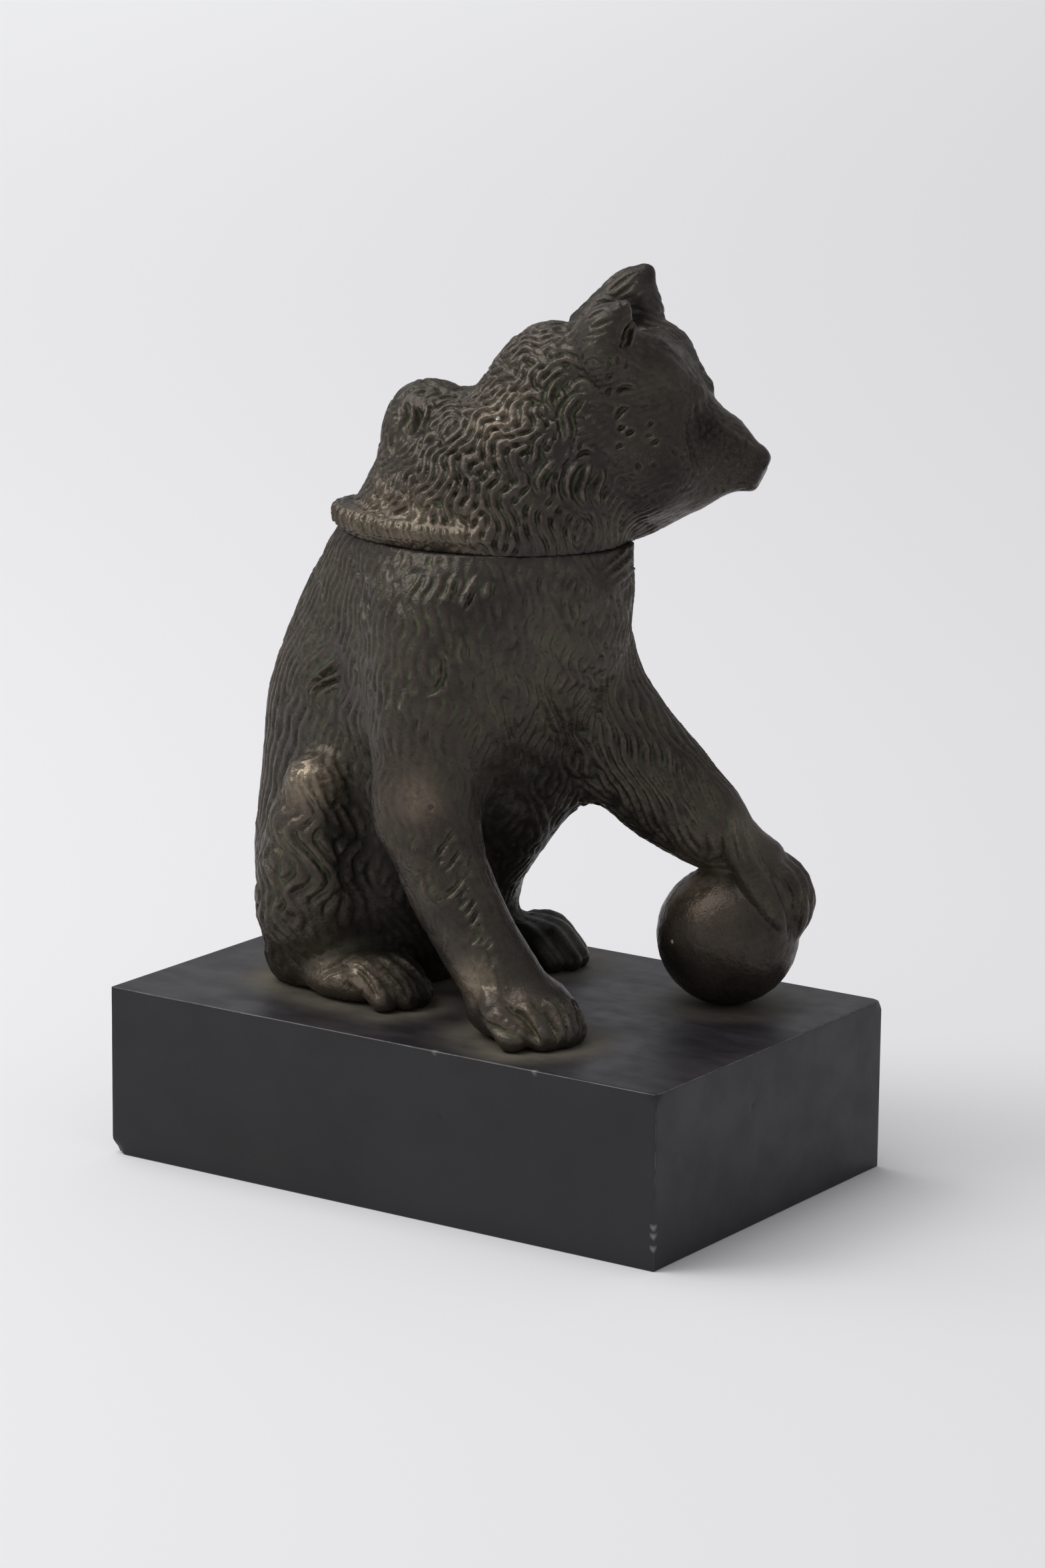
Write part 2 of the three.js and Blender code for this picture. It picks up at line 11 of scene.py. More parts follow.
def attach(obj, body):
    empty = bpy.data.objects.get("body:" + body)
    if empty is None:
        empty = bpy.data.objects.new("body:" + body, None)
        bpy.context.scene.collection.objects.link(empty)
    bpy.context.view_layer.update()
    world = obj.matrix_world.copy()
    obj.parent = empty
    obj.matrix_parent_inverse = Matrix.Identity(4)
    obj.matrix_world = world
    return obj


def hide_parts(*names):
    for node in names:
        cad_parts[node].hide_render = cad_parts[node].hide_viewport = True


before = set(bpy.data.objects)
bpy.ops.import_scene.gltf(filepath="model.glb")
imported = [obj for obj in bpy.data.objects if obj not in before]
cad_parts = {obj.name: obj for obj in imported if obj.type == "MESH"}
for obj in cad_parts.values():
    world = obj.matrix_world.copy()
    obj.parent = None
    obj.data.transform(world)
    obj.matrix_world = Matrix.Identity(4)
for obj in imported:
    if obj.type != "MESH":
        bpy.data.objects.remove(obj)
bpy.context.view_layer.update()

# Measures, millimetres
FEET_Z = 48.3          # the cut-flat soles
SEAM_Z = 176.0         # parting line between body and lid
SEAM_GAP = 0.12        # gap between their flat faces
WELL_WALL, WELL_FLOOR = 6.5, 92.0
LID_WALL, LID_CEILING = 7.0, 203.0
HEADING = 22.0         # degrees that the face is turned
NOSE = (61.0, 35.0)    # plan place of the nose
BALL = (56.2, 30.5, 67.3)
BALL_RADIUS = 19.6
RIM = (-8, 2.8)        # plan middle of the lid's rolled rim

MM = 0.001             # a millimetre in metres
BUDGET = 197000        # triangles to a carved piece

# The photograph's camera, fitted to the plinth's visible corners
AZIMUTH, ELEVATION, ROLL = 34.14, 13.037, 0.582   # degrees
EYE = np.array([779.03, -1136.77, 426.56])        # its place, millimetres
FOCAL = 7741.6                                    # its focal length, pixels
PICTURE = (1568, 2353)                            # the photograph's width and height, pixels


def ramp(a, b, v):
    """A smooth step from 0 at a to 1 at b: with t the clamped fraction, t squared times (3 - 2t)."""
    t = np.clip((v - a) / (b - a), 0.0, 1.0)
    return t * t * (3.0 - 2.0 * t)


def blend(a, b, k):
    """The smaller of two distances, with the join filleted over k: min - (k - |a - b|)^2 / 4k."""
    h = np.maximum(k - np.abs(a - b), 0.0)
    return np.minimum(a, b) - h * h / (4.0 * k)


def turned(yaw, roll=0.0):
    """Axes of a mass as matrix columns: a roll about its own length, then a yaw about up."""
    a, b = math.radians(yaw), math.radians(roll)
    about_up = np.array([[math.cos(a), -math.sin(a), 0], [math.sin(a), math.cos(a), 0], [0, 0, 1]])
    about_x = np.array([[1, 0, 0], [0, math.cos(b), -math.sin(b)], [0, math.sin(b), math.cos(b)]])
    return about_up @ about_x


def lump(centre, radii, axes=None):
    """An egg-shaped mass as (centre, reach, distance).

    With g the point divided by the radii and G the point divided by their squares, the
    distance is about |g| (|g| - 1) / |G|.
    """
    centre, radii = np.array(centre, float), np.array(radii, float)

    def distance(points):
        q = points - centre
        if axes is not None:
            q = q @ axes
        g = np.sqrt(((q / radii) ** 2).sum(1))
        return g * (g - 1.0) / (np.sqrt(((q / radii**2) ** 2).sum(1)) + 1e-9)

    return centre, radii.max(), distance


def spline(stations, steps):
    """A uniform Catmull-Rom curve through rows of stations, steps pieces between two of them.

    Each coordinate is the cubic with slopes (next - last) / 2. A fourth column, the
    radius, runs from station to station on half a smooth step and half a straight line.
    """
    s = np.array(stations, float)
    spans = len(s) - 1
    ends = np.vstack([2 * s[0] - s[1], s, 2 * s[-1] - s[-2]])
    at = np.arange(spans * steps + 1) / steps
    j = np.minimum(at.astype(int), spans - 1)
    t = (at - j)[:, None]
    p0, p1, p2, p3 = ends[j], ends[j + 1], ends[j + 2], ends[j + 3]
    v0, v1 = (p2 - p0) / 2, (p3 - p1) / 2
    out = (2 * p1 - 2 * p2 + v0 + v1) * t**3 + (3 * p2 - 3 * p1 - 2 * v0 - v1) * t**2 + v0 * t + p1
    if s.shape[1] > 3:
        w = ramp(0, 1, t) * 0.5 + t * 0.5
        out[:, 3:] = p1[:, 3:] * (1 - w) + p2[:, 3:] * w
    return out


def limb(*stations, steps=5):
    """A round mass along a smooth path of (x, y, z, radius) stations.

    Its distance is that to the nearest point of the path, less the radius there.
    """
    nodes = spline(stations, steps)
    centre = nodes[:, :3].mean(0)
    reach = (np.linalg.norm(nodes[:, :3] - centre, axis=1) + nodes[:, 3]).max()

    def distance(points):
        best = np.full(len(points), np.inf)
        radius = np.zeros(len(points))
        for a, b in zip(nodes[:-1], nodes[1:]):
            run = b[:3] - a[:3]
            q = points - a[:3]
            h = np.clip(q @ run / (run @ run), 0.0, 1.0)
            q -= h[:, None] * run
            d = (q * q).sum(1)
            closer = d < best
            best = np.where(closer, d, best)
            radius = np.where(closer, a[3] + (b[3] - a[3]) * h, radius)
        return np.sqrt(best) - radius

    return centre, reach, distance


def sculpt(masses, points, huddle=None):
    """Distance to a list of (mass, k): each joined to the last with a fillet k, or cut out if k < 0.

    A mass is worked out only for the points near enough to feel it. A huddle (middle, radius) of
    points that all lie close to the surface lets a far mass be passed over at once.
    """
    d = np.full(len(points), 1e3)
    for (centre, reach, distance), k in masses:
        if huddle and np.linalg.norm(huddle[0] - centre) - reach - huddle[1] > 14 + 2 * abs(k):
            continue
        far = np.sqrt(((points - centre) ** 2).sum(1)) - reach
        near = np.flatnonzero(far < (d + k if k > 0 else -d - k))
        if len(near):
            e = distance(points[near])
            d[near] = blend(d[near], e, k) if k > 0 else -blend(-d[near], e, -k)
    return d


YAW = turned(HEADING)


def H(s, l, z, *radius):
    """A place in the head's own frame: s forward from the nose, l to the bear's left, z up."""
    c, n = YAW[0, 0], YAW[1, 0]
    return (NOSE[0] + c * s - n * l, NOSE[1] + n * s + c * l, z, *radius)


# Masses of the body
def trunk():
    """Haunches, belly, chest and the stump of the neck."""
    return [
        (lump((-42, 5, 78), (37, 33, 38)), 18),
        (lump((-27.5, 3, 118), (48.2, 31, 47)), 18),
        (lump((-12.5, 4, 152), (47.6, 30, 38)), 16),
        (lump((-7, 3, 168), (43, 31.5, 30)), 8),
        (lump((-6, -17, 146), (27, 17, 40)), 8),
        (lump((4, 20, 142), (22, 13, 26)), 8),
    ]


def tuft():
    """The tuft that sweeps across the chest from under the lid's edge."""
    return [(limb((25, 17, 184, 5), (29, 12, 176, 5.4), (32, 5, 169, 4.8), (32, -4, 164, 3.4),
                  (29.5, -12, 159, 1.8)), 3)]


def hind_leg(dx, dy, side):
    """Shank, heel and foot with four toes; side -1 mirrors it across."""
    def at(x, y, z, *r):
        return (x + dx, dy + side * y, z, *r)

    masses = [
        (limb(at(-39.5, -30, 107, 9), at(-41, -28, 97, 13), at(-43, -25.5, 83, 15.5),
              at(-46, -23, 70, 15.5), at(-49, -21, 59, 11.5)), 5),
        (lump(at(-44, -17, 75), (19, 14, 27)), 8),
        (limb(at(-54, -19, 53.5, 7.2), at(-42, -22, 55.4, 7.6), at(-29, -23.5, 54.8, 7.2)), 5),
        (lump(at(-30, -23.5, 53), (16, 12, 7)), 3),
    ]
    for o, l, r in ((-8.6, -4, 4.0), (-3.4, 0, 3.9), (1.6, 1, 3.7), (6.4, -1.5, 3.5)):
        masses.append((limb(at(-26, -24 + o * 0.8, 58, r * 0.9), at(-17 + l, -24.5 + o, 57, r),
                            at(-10 + l, -25 + o, 50.8, r * 0.88), steps=3), 1.4))
    return masses


def near_foreleg():
    """The straight foreleg and its paw with five digits."""
    masses = [
        (limb((-3.5, -19, 154, 20.5), (-3, -26, 132, 17.6), (-1.5, -31, 112, 14.3),
              (5.2, -33.5, 92, 12.1), (15.6, -33, 74, 11), (26, -32, 60, 11), steps=6), 8),
        (lump((29.5, -31.5, 54.5), (14.5, 13, 8)), 4),
        (lump((-5.5, -40, 107), (5, 5, 9)), 7),
    ]
    for o, l, r in ((-10.6, -7, 4.0), (-5, -1, 4.4), (0.4, 1.2, 4.4), (5.4, 1, 4.1), (9.6, -2, 3.8)):
        masses.append((limb((27, -31.5 + o * 0.65, 60, r * 0.9), (36.5 + l, -33 + o, 58, r),
                            (43.5 + l, -34.2 + o * 1.05, 51, r * 0.95), steps=3), 3))
    return masses


def far_foreleg():
    """The lifted foreleg, the ball under it, and the four digits laid over the ball."""
    masses = [
        (limb((6, 20, 145, 16), (19.5, 22, 125, 16), (35.5, 26, 108.2, 14.8), (47.6, 29.6, 98.4, 12.5),
              (56.5, 33, 91, 9), (62.6, 35.6, 87.4, 7.7), steps=6), 8),
        (lump((11, 15, 118), (14, 12, 16)), 10),
        (lump(BALL, (BALL_RADIUS,) * 3), 0.8),
        (limb((57, 27.5, 98, 4.6), (62.8, 26, 91.5, 4.6), (66.8, 25, 86.8, 4.5), (70.4, 25.2, 81.2, 4.3),
              (73.4, 26.2, 76.4, 3.4), (74.6, 27.8, 72.4, 2), (74.4, 29, 69, 1.3), steps=3), 0.8),
        (limb((63, 33, 90, 5), (69.5, 33, 83, 4.6), (73, 33.5, 76, 3), steps=3), 2),
    ]
    for o, shift, r in ((5.4, -2.2, 3.6), (0.2, -0.6, 3.6), (-5.2, 0.4, 3.3)):
        x, y = 0.564 * o + 0.826 * shift, 0.564 * shift - 0.826 * o
        masses.append((limb((62 + x * 0.8, 36 + y * 0.8, 88.8, r + 0.8), (71 + x, 39.2 + y, 84.2, r),
                            (74.4 + x, 41 + y, 77.5, r * 0.85), (74.6 + x * 0.9, 41 + y * 0.9, 72.5, r * 0.6),
                            (73.4 + x * 0.9, 40.2 + y * 0.9, 68.6, r * 0.4), steps=3), 1))
    return masses


# Masses of the lid
def mane():
    """Neck, throat and hump."""
    return [
        (lump((-8, 3, 168), (41.5, 32, 33)), 10),
        (lump((-2, 5, 188), (36, 29, 27)), 10),
        (lump((14, 10, 203), (24, 23, 24)), 10),
        (lump((8.5, 14, 213.5), (18, 17, 20.5)), 8),
        (lump((-23, -1, 203.6), (12, 13, 13.6)), 7),
    ]


def head():
    """Skull, muzzle, jaw, nose, brows, eyes and ears, built on the head's middle line."""
    masses = [
        (lump(H(-32, 0, 211), (16.3, 18.5, 21), YAW), 9),
        (limb(H(-22, 0, 204.5, 14), H(-11, 0, 201.5, 9.7), H(-2.8, 0, 198.2, 5.6)), 6),
        (limb(H(-25, 0, 196.5, 12.5), H(-12, 0, 196.2, 7.9), H(-3.2, 0, 195, 4.6)), 4),
        (limb(H(-20, 0, 191.5, 7), H(-33, 0, 185.5, 8.6)), 6),
        (lump(H(-1.6, 0, 197), (3.6, 4.8, 4.1), YAW), 1.5),
        (lump(H(13.3, 0, 189.2), (14, 14, 14)), -1.6),
    ]
    for side in (-1, 1):
        masses += [
            (lump(H(-29, side * 11, 200), (13, 11, 15), YAW), 8),
            (lump(H(-29, side * 12, 222), (8, 6, 11), YAW), 8),
            (limb(H(-31, side * 9.6, 228.2, 3.2), H(-24, side * 8.4, 223.9, 2.8),
                  H(-16.5, side * 6.6, 217.2, 2)), 3),
            (lump(H(-10.5, side * 13, 207.5), (7, 3.6, 7.5), YAW), -4),
            (lump(H(1.6, side * 2.9, 197.9), (1.4, 1.2, 1.4), YAW), -0.6),
        ]
    for side, top in ((-1, 240.0), (1, 245.6)):
        cup = turned(HEADING + side * 8, -side * 14)
        masses += [
            (lump(H(-38.6, side * 16, top - 12), (8.4, 9.5, 13.4), cup), 4),
            (limb(H(-50, side * 13, top - 15, 6), H(-42, side * 15.5, top - 5, 5),
                  H(-35.6, side * 17, top + 0.4, 2.6)), 3),
            (lump(H(-32.6, side * 21.5, top - 5.5), (2.4, 3.4, 5), cup), -2),
        ]
    return masses


def rim():
    """The rolled lock of fur along the lid's edge, thickest in the middle of its run."""
    i = np.arange(17)
    a = np.radians(165 + i * 8.4)
    swell = np.sin(np.radians(12 + i * 9.75)) ** 0.6
    return [(limb(*np.c_[RIM[0] + 40.2 * np.cos(a), RIM[1] + 31 * np.sin(a), 180.4 + 0 * a, 3.4 * swell],
                  steps=2), 3)]


TRUNK, MANE = trunk(), mane()
BODY = TRUNK + tuft() + hind_leg(0, 0, 1) + hind_leg(12.2, 9, -1) + near_foreleg() + far_foreleg()
LID = MANE + head() + rim()


# From a distance to a closed net
def hollow(masses, wall, points, level, upwards, huddle):
    """Distance to the room inside masses: wall deep under their skin, and above (or below) a level."""
    side = level - points[:, 2] if upwards else points[:, 2] - level
    return blend_out(sculpt(masses, points, huddle) + wall, side)


def blend_out(a, b):
    """The larger of two distances with its edge rounded over 6 mm."""
    return -blend(-a, -b, 6.0)


def body_field(points, huddle=None):
    """The body's masses less its ink well, cut a little past the seam and the soles."""
    room = hollow(TRUNK, WELL_WALL, points, WELL_FLOOR, True, huddle)
    z = points[:, 2]
    return np.maximum.reduce([sculpt(BODY, points, huddle), -room, z - SEAM_Z - 2, FEET_Z - 2 - z])


def lid_field(points, huddle=None):
    """The lid's masses less its hollow, cut a little past the seam."""
    room = hollow(MANE, LID_WALL, points, LID_CEILING, False, huddle)
    return np.maximum.reduce([sculpt(LID, points, huddle), -room, SEAM_Z - 2 - points[:, 2]])


CORNERS = np.array([(i & 1, i >> 1 & 1, i >> 2 & 1) for i in range(8)])


def sampled(field, lo, hi, step, block=6):
    """The field on a grid. Blocks whose middle lies far from the surface take that one value."""
    lo = np.array(lo, float)
    blocks = np.ceil((np.array(hi) - lo) / (step * block)).astype(int)
    middle = np.stack(np.meshgrid(*[np.arange(n) for n in blocks], indexing="ij"), -1).reshape(-1, 3)
    rough = field(lo + (middle * block + (block - 1) / 2) * step)
    near = np.flatnonzero(np.abs(rough) < block * step * 1.1 + 1.5)
    inner = np.stack(np.meshgrid(*[np.arange(block)] * 3, indexing="ij"), -1).reshape(-1, 3)
    fine = np.repeat(rough[:, None], block**3, 1)
    room = middle[near] // 4
    key = (room[:, 0] * 1000 + room[:, 1]) * 1000 + room[:, 2]
    near = near[np.argsort(key, kind="stable")]
    for some in np.split(near, np.flatnonzero(np.diff(np.sort(key))) + 1):
        at = (lo + (middle[some][:, None, :] * block + inner[None]) * step).reshape(-1, 3)
        centre = (at.min(0) + at.max(0)) / 2
        huddle = centre, np.linalg.norm(at.max(0) - centre)
        fine[some] = field(at, huddle).reshape(len(some), -1)
    fine = fine.reshape(*blocks, block, block, block).transpose(0, 3, 1, 4, 2, 5)
    return fine.reshape(*(blocks * block)), lo


def parted(mask):
    """The smaller groups of corners of one sign in a cell, where a sign falls apart into groups."""
    for sign, inside in ((mask, True), (255 ^ mask, False)):
        left = {i for i in range(8) if sign >> i & 1}
        groups = []
        while left:
            group, stack = set(), [left.pop()]
            while stack:
                i = stack.pop()
                group.add(i)
                for bit in (1, 2, 4):
                    if i ^ bit in left:
                        left.discard(i ^ bit)
                        stack.append(i ^ bit)
            groups.append(sorted(group))
        if len(groups) > 1:
            return min(groups, key=len), inside
    return None


PARTED = {mask: parted(mask) for mask in range(256) if parted(mask)}


def net(field, lo, hi, step):
    """The zero surface of a field as points and outward quads.

    Every grid cell that the surface crosses gives one point, the mean of the places where it
    cuts the cell's edges; every cut grid edge joins the points of its four cells. Cells whose
    signs fall apart are mended first, or filled where mending doesn't settle, so that the net
    stays closed and simple.
    """
    value, lo = sampled(field, lo, hi, step)
    value[np.abs(value) < 1e-4] = 1e-4
    size = [n - 1 for n in value.shape]

    def corner(c):
        x, y, z = CORNERS[c]
        return value[x:x + size[0], y:y + size[1], z:z + size[2]]

    for turn in range(40):
        mask = sum((corner(c) < 0).astype(np.uint8) << c for c in range(8))
        broken = np.argwhere(np.isin(mask, list(PARTED)))
        for cell in broken:
            corners, inside = PARTED[mask[tuple(cell)]] if turn < 10 else (range(8), False)
            for c in corners:
                value[tuple(cell + CORNERS[c])] = 0.02 if inside else -0.02
        if not len(broken):
            break
    cells = np.argwhere((mask > 0) & (mask < 255))
    number = np.full(mask.shape, -1, np.int32)
    number[tuple(cells.T)] = np.arange(len(cells))
    at = np.stack([value[tuple((cells + CORNERS[c]).T)] for c in range(8)], 1)
    total, hits = np.zeros((len(cells), 3)), np.zeros(len(cells))
    for c in range(8):
        for bit in (1, 2, 4):
            e = c | bit
            if e == c:
                continue
            crossed = (at[:, c] < 0) != (at[:, e] < 0)
            t = (at[:, c] / np.where(crossed, at[:, c] - at[:, e], 1))[:, None]
            total += np.where(crossed[:, None], CORNERS[c] * (1 - t) + CORNERS[e] * t, 0)
            hits += crossed
    points = lo + (cells + total / hits[:, None]) * step
    quads = []
    inside = value < 0
    for m in range(3):
        u, v = np.eye(3, dtype=int)[(m + 1) % 3], np.eye(3, dtype=int)[(m + 2) % 3]
        here = inside.take(range(inside.shape[m] - 1), m)
        there = inside.take(range(1, inside.shape[m]), m)
        p = np.argwhere(here != there)
        q = np.stack([number[tuple((p - a * u - b * v).T)] for a, b in ((0, 0), (1, 0), (1, 1), (0, 1))], 1)
        flip = ~inside[tuple(p.T)]
        q[flip] = q[flip][:, ::-1]
        quads.append(q)
    return points, np.concatenate(quads)


def triangles(points, quads):
    """Each quad cut along its shorter diagonal."""
    a, b, c, d = (points[quads[:, i]] for i in range(4))
    first = (((a - c) ** 2).sum(1) < ((b - d) ** 2).sum(1))[:, None]
    one = np.where(first, quads[:, [0, 1, 2]], quads[:, [1, 2, 3]])
    two = np.where(first, quads[:, [0, 2, 3]], quads[:, [1, 3, 0]])
    return np.concatenate([one, two])


class Skin:
    """A net with its neighbours, normals and the relief that is gathered on it."""

    def __init__(self, field, lo, hi, step):
        """Nets a field, evens the net out by turns in and out so that it doesn't shrink, and sorts
        its points into boxes of 3 mm, by which near() finds them."""
        self.points, self.quads = net(field, lo, hi, step)
        self.ring = np.concatenate([self.quads[:, [i, (i + 1) % 4]] for i in range(4)])
        self.count = np.bincount(self.ring.ravel(), minlength=len(self.points)).astype(float)
        for amount in (0.5, -0.52, 0.5, -0.52, 0.5):
            self.points += amount * (self.around(self.points) - self.points)
        self.normals = self.facing(self.points)
        self.height = np.zeros(len(self.points))
        self.taken = np.zeros(len(self.points))
        self.cell = 3.0
        self.low = self.points.min(0) - 3 * self.cell
        place = ((self.points - self.low) // self.cell).astype(int)
        self.size = place.max(0) + 5
        key = (place[:, 0] * self.size[1] + place[:, 1]) * self.size[2] + place[:, 2]
        self.order = np.argsort(key, kind="stable")
        self.starts = np.searchsorted(key[self.order], np.arange(self.size.prod() + 1))

    def around(self, values):
        """Mean of each point's neighbours, over the net's edges."""
        a, b = self.ring.T
        wide = values.reshape(len(values), -1)
        out = np.stack([np.bincount(a, v[b], len(v)) + np.bincount(b, v[a], len(v)) for v in wide.T], 1)
        return (out / self.count[:, None]).reshape(values.shape)

    def blurred(self, values, times):
        """Values averaged with their neighbours so many times."""
        for _ in range(times):
            values = 0.5 * values + 0.5 * self.around(values)
        return values

    def facing(self, points):
        """Unit normals at the points: the cross product of each quad's diagonals, summed."""
        a, b, c, d = (points[self.quads[:, i]] for i in range(4))
        n = np.cross(c - a, d - b)
        total = np.stack([sum(np.bincount(self.quads[:, i], n[:, k], len(points)) for i in range(4))
                          for k in range(3)], 1)
        return total / (np.linalg.norm(total, axis=1)[:, None] + 1e-12)

    def near(self, path, reach):
        """Numbers of the points in the 3 mm boxes round a path."""
        w = int(math.ceil(reach / self.cell))
        span = np.arange(-w, w + 1)
        box = np.stack(np.meshgrid(span, span, span, indexing="ij"), -1).reshape(-1, 3)
        place = (((path - self.low) // self.cell).astype(int)[:, None] + box).reshape(-1, 3)
        place = place.clip(0, self.size - 1)
        key = np.unique((place[:, 0] * self.size[1] + place[:, 1]) * self.size[2] + place[:, 2])
        runs = [self.order[s:e] for s, e in zip(self.starts[key], self.starts[key + 1]) if e > s]
        return np.concatenate(runs) if runs else np.zeros(0, int)

    def onto(self, points):
        """The nearest net point's number for each place."""
        tree = self.tree()
        return np.array([tree.find(p)[1] for p in points])

    def tree(self):
        """A search tree of the net's points, made once."""
        if not hasattr(self, "_tree"):
            self._tree = KDTree(len(self.points))
            for i, p in enumerate(self.points.tolist()):
                self._tree.insert(p, i)
            self._tree.balance()
        return self._tree


# Carving on a skin
def beside(skin, some, path, normal):
    """Where net points lie along a path: fraction run, signed distance across, plain distance.

    Each point takes its nearest piece of the path; the sign comes from the normal crossed
    with the path's direction there.
    """
    run = path[1:] - path[:-1]
    length = np.linalg.norm(run, axis=1)
    start = np.r_[0, np.cumsum(length)]
    v = skin.points[some][:, None] - path[:-1]
    t = np.clip((v * run).sum(2) / (length**2 + 1e-9), 0, 1)
    away = v - t[..., None] * run
    d = (away**2).sum(2)
    j = d.argmin(1)
    rows = np.arange(len(some))
    side = np.cross(normal[:-1], run)
    side /= np.linalg.norm(side, axis=1)[:, None] + 1e-9
    across = (away[rows, j] * side[j]).sum(1)
    return (start[j] + t[rows, j] * length[j]) / start[-1], across, np.sqrt(d[rows, j])


def cut(skin, path, normal, width, depth, lip=0.2):
    """One gouge: a hollow pointed at both ends, -1.6 * depth * run * (1 - q^2)^1.5, and a low lip
    along one side. run is sin(pi s^0.9)^0.8 and q the distance over half the width there."""
    some = skin.near(path, width)
    if not len(some):
        return
    s, across, away = beside(skin, some, path, normal)
    facing = (skin.normals[some] * normal[len(normal) // 2]).sum(1) > 0.1
    run = np.sin(np.pi * np.clip(s, 0.0, 1.0) ** 0.9) ** 0.8
    half = 0.5 * width * (0.15 + 0.95 * run)
    h = -1.6 * depth * run * np.clip(1 - (away / half) ** 2, 0, 1) ** 1.5
    h += depth * lip * run * np.exp(-(((across / half) - 1.3) / 0.45) ** 2)
    skin.height[some] += np.where(facing, h, 0)
    skin.taken[some[away < 0.7 * width]] = 1


def ridge(skin, path, normal, width, height, ends=0.3):
    """One crest between two hollows: height * run * ((1 - q)^1.4 - 0.4 exp(-((q - 1.1) / 0.4)^2)),
    q being the distance over half the width, tapering to a point at both ends."""
    some = skin.near(path, 0.95 * width)
    if not len(some):
        return
    s, _, away = beside(skin, some, path, normal)
    run = ramp(0, ends, s) * (1 - ramp(1 - ends, 1, s))
    q = away / (0.5 * width * (0.4 + 0.6 * run))
    facing = (skin.normals[some] * normal[len(normal) // 2]).sum(1) > 0.1
    h = height * run * (np.clip(1 - q, 0, 1) ** 1.4 - 0.4 * np.exp(-((q - 1.1) / 0.4) ** 2))
    skin.height[some] += np.where(facing, h, 0)
    skin.taken[some[away < 0.6 * width]] = 1


def sights():
    """The camera's axes as rows: right, up and back."""
    a, e, roll = (math.radians(v) for v in (AZIMUTH, ELEVATION, ROLL))
    back = np.array([math.sin(a) * math.cos(e), -math.cos(a) * math.cos(e), math.sin(e)])
    right = np.array([math.cos(a), math.sin(a), 0.0])
    up = np.cross(back, right)
    c, s = math.cos(roll), math.sin(roll)
    return np.array([c * right + s * up, -s * right + c * up, back])


def seen(skin, pixels):
    """The places on the skin that the photograph shows at pixels: the foremost of the points that
    face the camera and fall within three pixels, or within more where there are none so near."""
    if not hasattr(skin, "seen"):
        q = (skin.points - EYE) @ sights().T
        towards = ((EYE - skin.points) * skin.normals).sum(1) > 0
        skin.seen = np.c_[PICTURE[0] / 2 - FOCAL * q[:, 0] / q[:, 2],
                          PICTURE[1] / 2 + FOCAL * q[:, 1] / q[:, 2],
                          np.where(towards, -q[:, 2], np.inf)]
    out = []
    for u, v in pixels:
        for reach in (3, 6, 12, 30):
            near = np.flatnonzero((np.abs(skin.seen[:, 0] - u) < reach)
                                  & (np.abs(skin.seen[:, 1] - v) < reach)
                                  & np.isfinite(skin.seen[:, 2]))
            if len(near):
                break
        front = skin.seen[near, 2].min()
        near = near[skin.seen[near, 2] < front + 3]
        out.append(skin.points[near[np.hypot(*(skin.seen[near, :2] - (u, v)).T).argmin()]])
    return out


def drawn(skin, *places, steps=5):
    """A smooth path through a few places, dropped on the skin, with the normals along it."""
    path = spline(np.array(places, float), steps)
    near = skin.onto(path)
    normal = skin.broad[near]
    path = path - ((path - skin.points[near]) * normal).sum(1)[:, None] * normal
    return path, normal


def carved(skin, strokes):
    """Carves a table of strokes: a tool, its width and height, and the pixels that it runs through."""
    for tool, width, height, *pixels in strokes:
        path, normal = drawn(skin, *seen(skin, pixels))
        tool(skin, path, normal, width, height)


def folded(skin, rows):
    """Short shallow folds across a toe, evenly spaced along each row."""
    for start, end, count, half in rows:
        start, end = np.array(start, float), np.array(end, float)
        across = (end - start)[::-1] * (1, -1) / np.linalg.norm(end - start) * half
        for t in (np.arange(count) + 0.5) / count:
            middle = start + t * (end - start)
            path, normal = drawn(skin, *seen(skin, (middle - across, middle, middle + across)), steps=3)
            cut(skin, path, normal, 1.15, 0.42)


# How the coat lies
def combed(guides, points):
    """The coat's direction and habit at points, each guide weighed by exp(-distance^2 / 2 radius^2)."""
    table = np.array(guides, float)
    gap = (points**2).sum(1)[:, None] + (table[:, :3] ** 2).sum(1) - 2 * points @ table[:, :3].T
    weight = np.exp(-gap / (2 * table[:, 3] ** 2)) + 1e-12
    mixed = weight @ table[:, 4:] / weight.sum(1)[:, None]
    return mixed[:, :3], mixed[:, 3:]


def scattered(skin, spacing, seed, homes=False):
    """Net points spread evenly: of each cell of a lattice, the one nearest to a jittered place in it.
    Asked for homes, it also gives each net point the number of its cell's one."""
    turn = turned(31, 17)
    place = skin.points @ turn / spacing
    cell = np.floor(place).astype(int)
    cell -= cell.min(0)
    size = cell.max(0) + 1
    key = (cell[:, 0] * size[1] + cell[:, 1]) * size[2] + cell[:, 2]
    jitter = np.random.default_rng(seed).uniform(0.15, 0.85, (size.prod(), 3))
    off = ((place - np.floor(place) - jitter[key]) ** 2).sum(1)
    order = np.lexsort((off, key))
    first = np.r_[True, np.diff(key[order]) > 0]
    if homes:
        home = np.empty(len(order), int)
        home[order] = np.cumsum(first) - 1
        return order[first], home
    return order[first]


def wavering(points):
    """sin(a + 1.3 sin b), a and b being waves of 12 and 17 mm that run through the place."""
    a = points @ np.array([[0.21, 0.32], [0.25, -0.15], [0.42, 0.1]])
    return np.sin(a[:, 0] + 1.3 * np.sin(a[:, 1]))


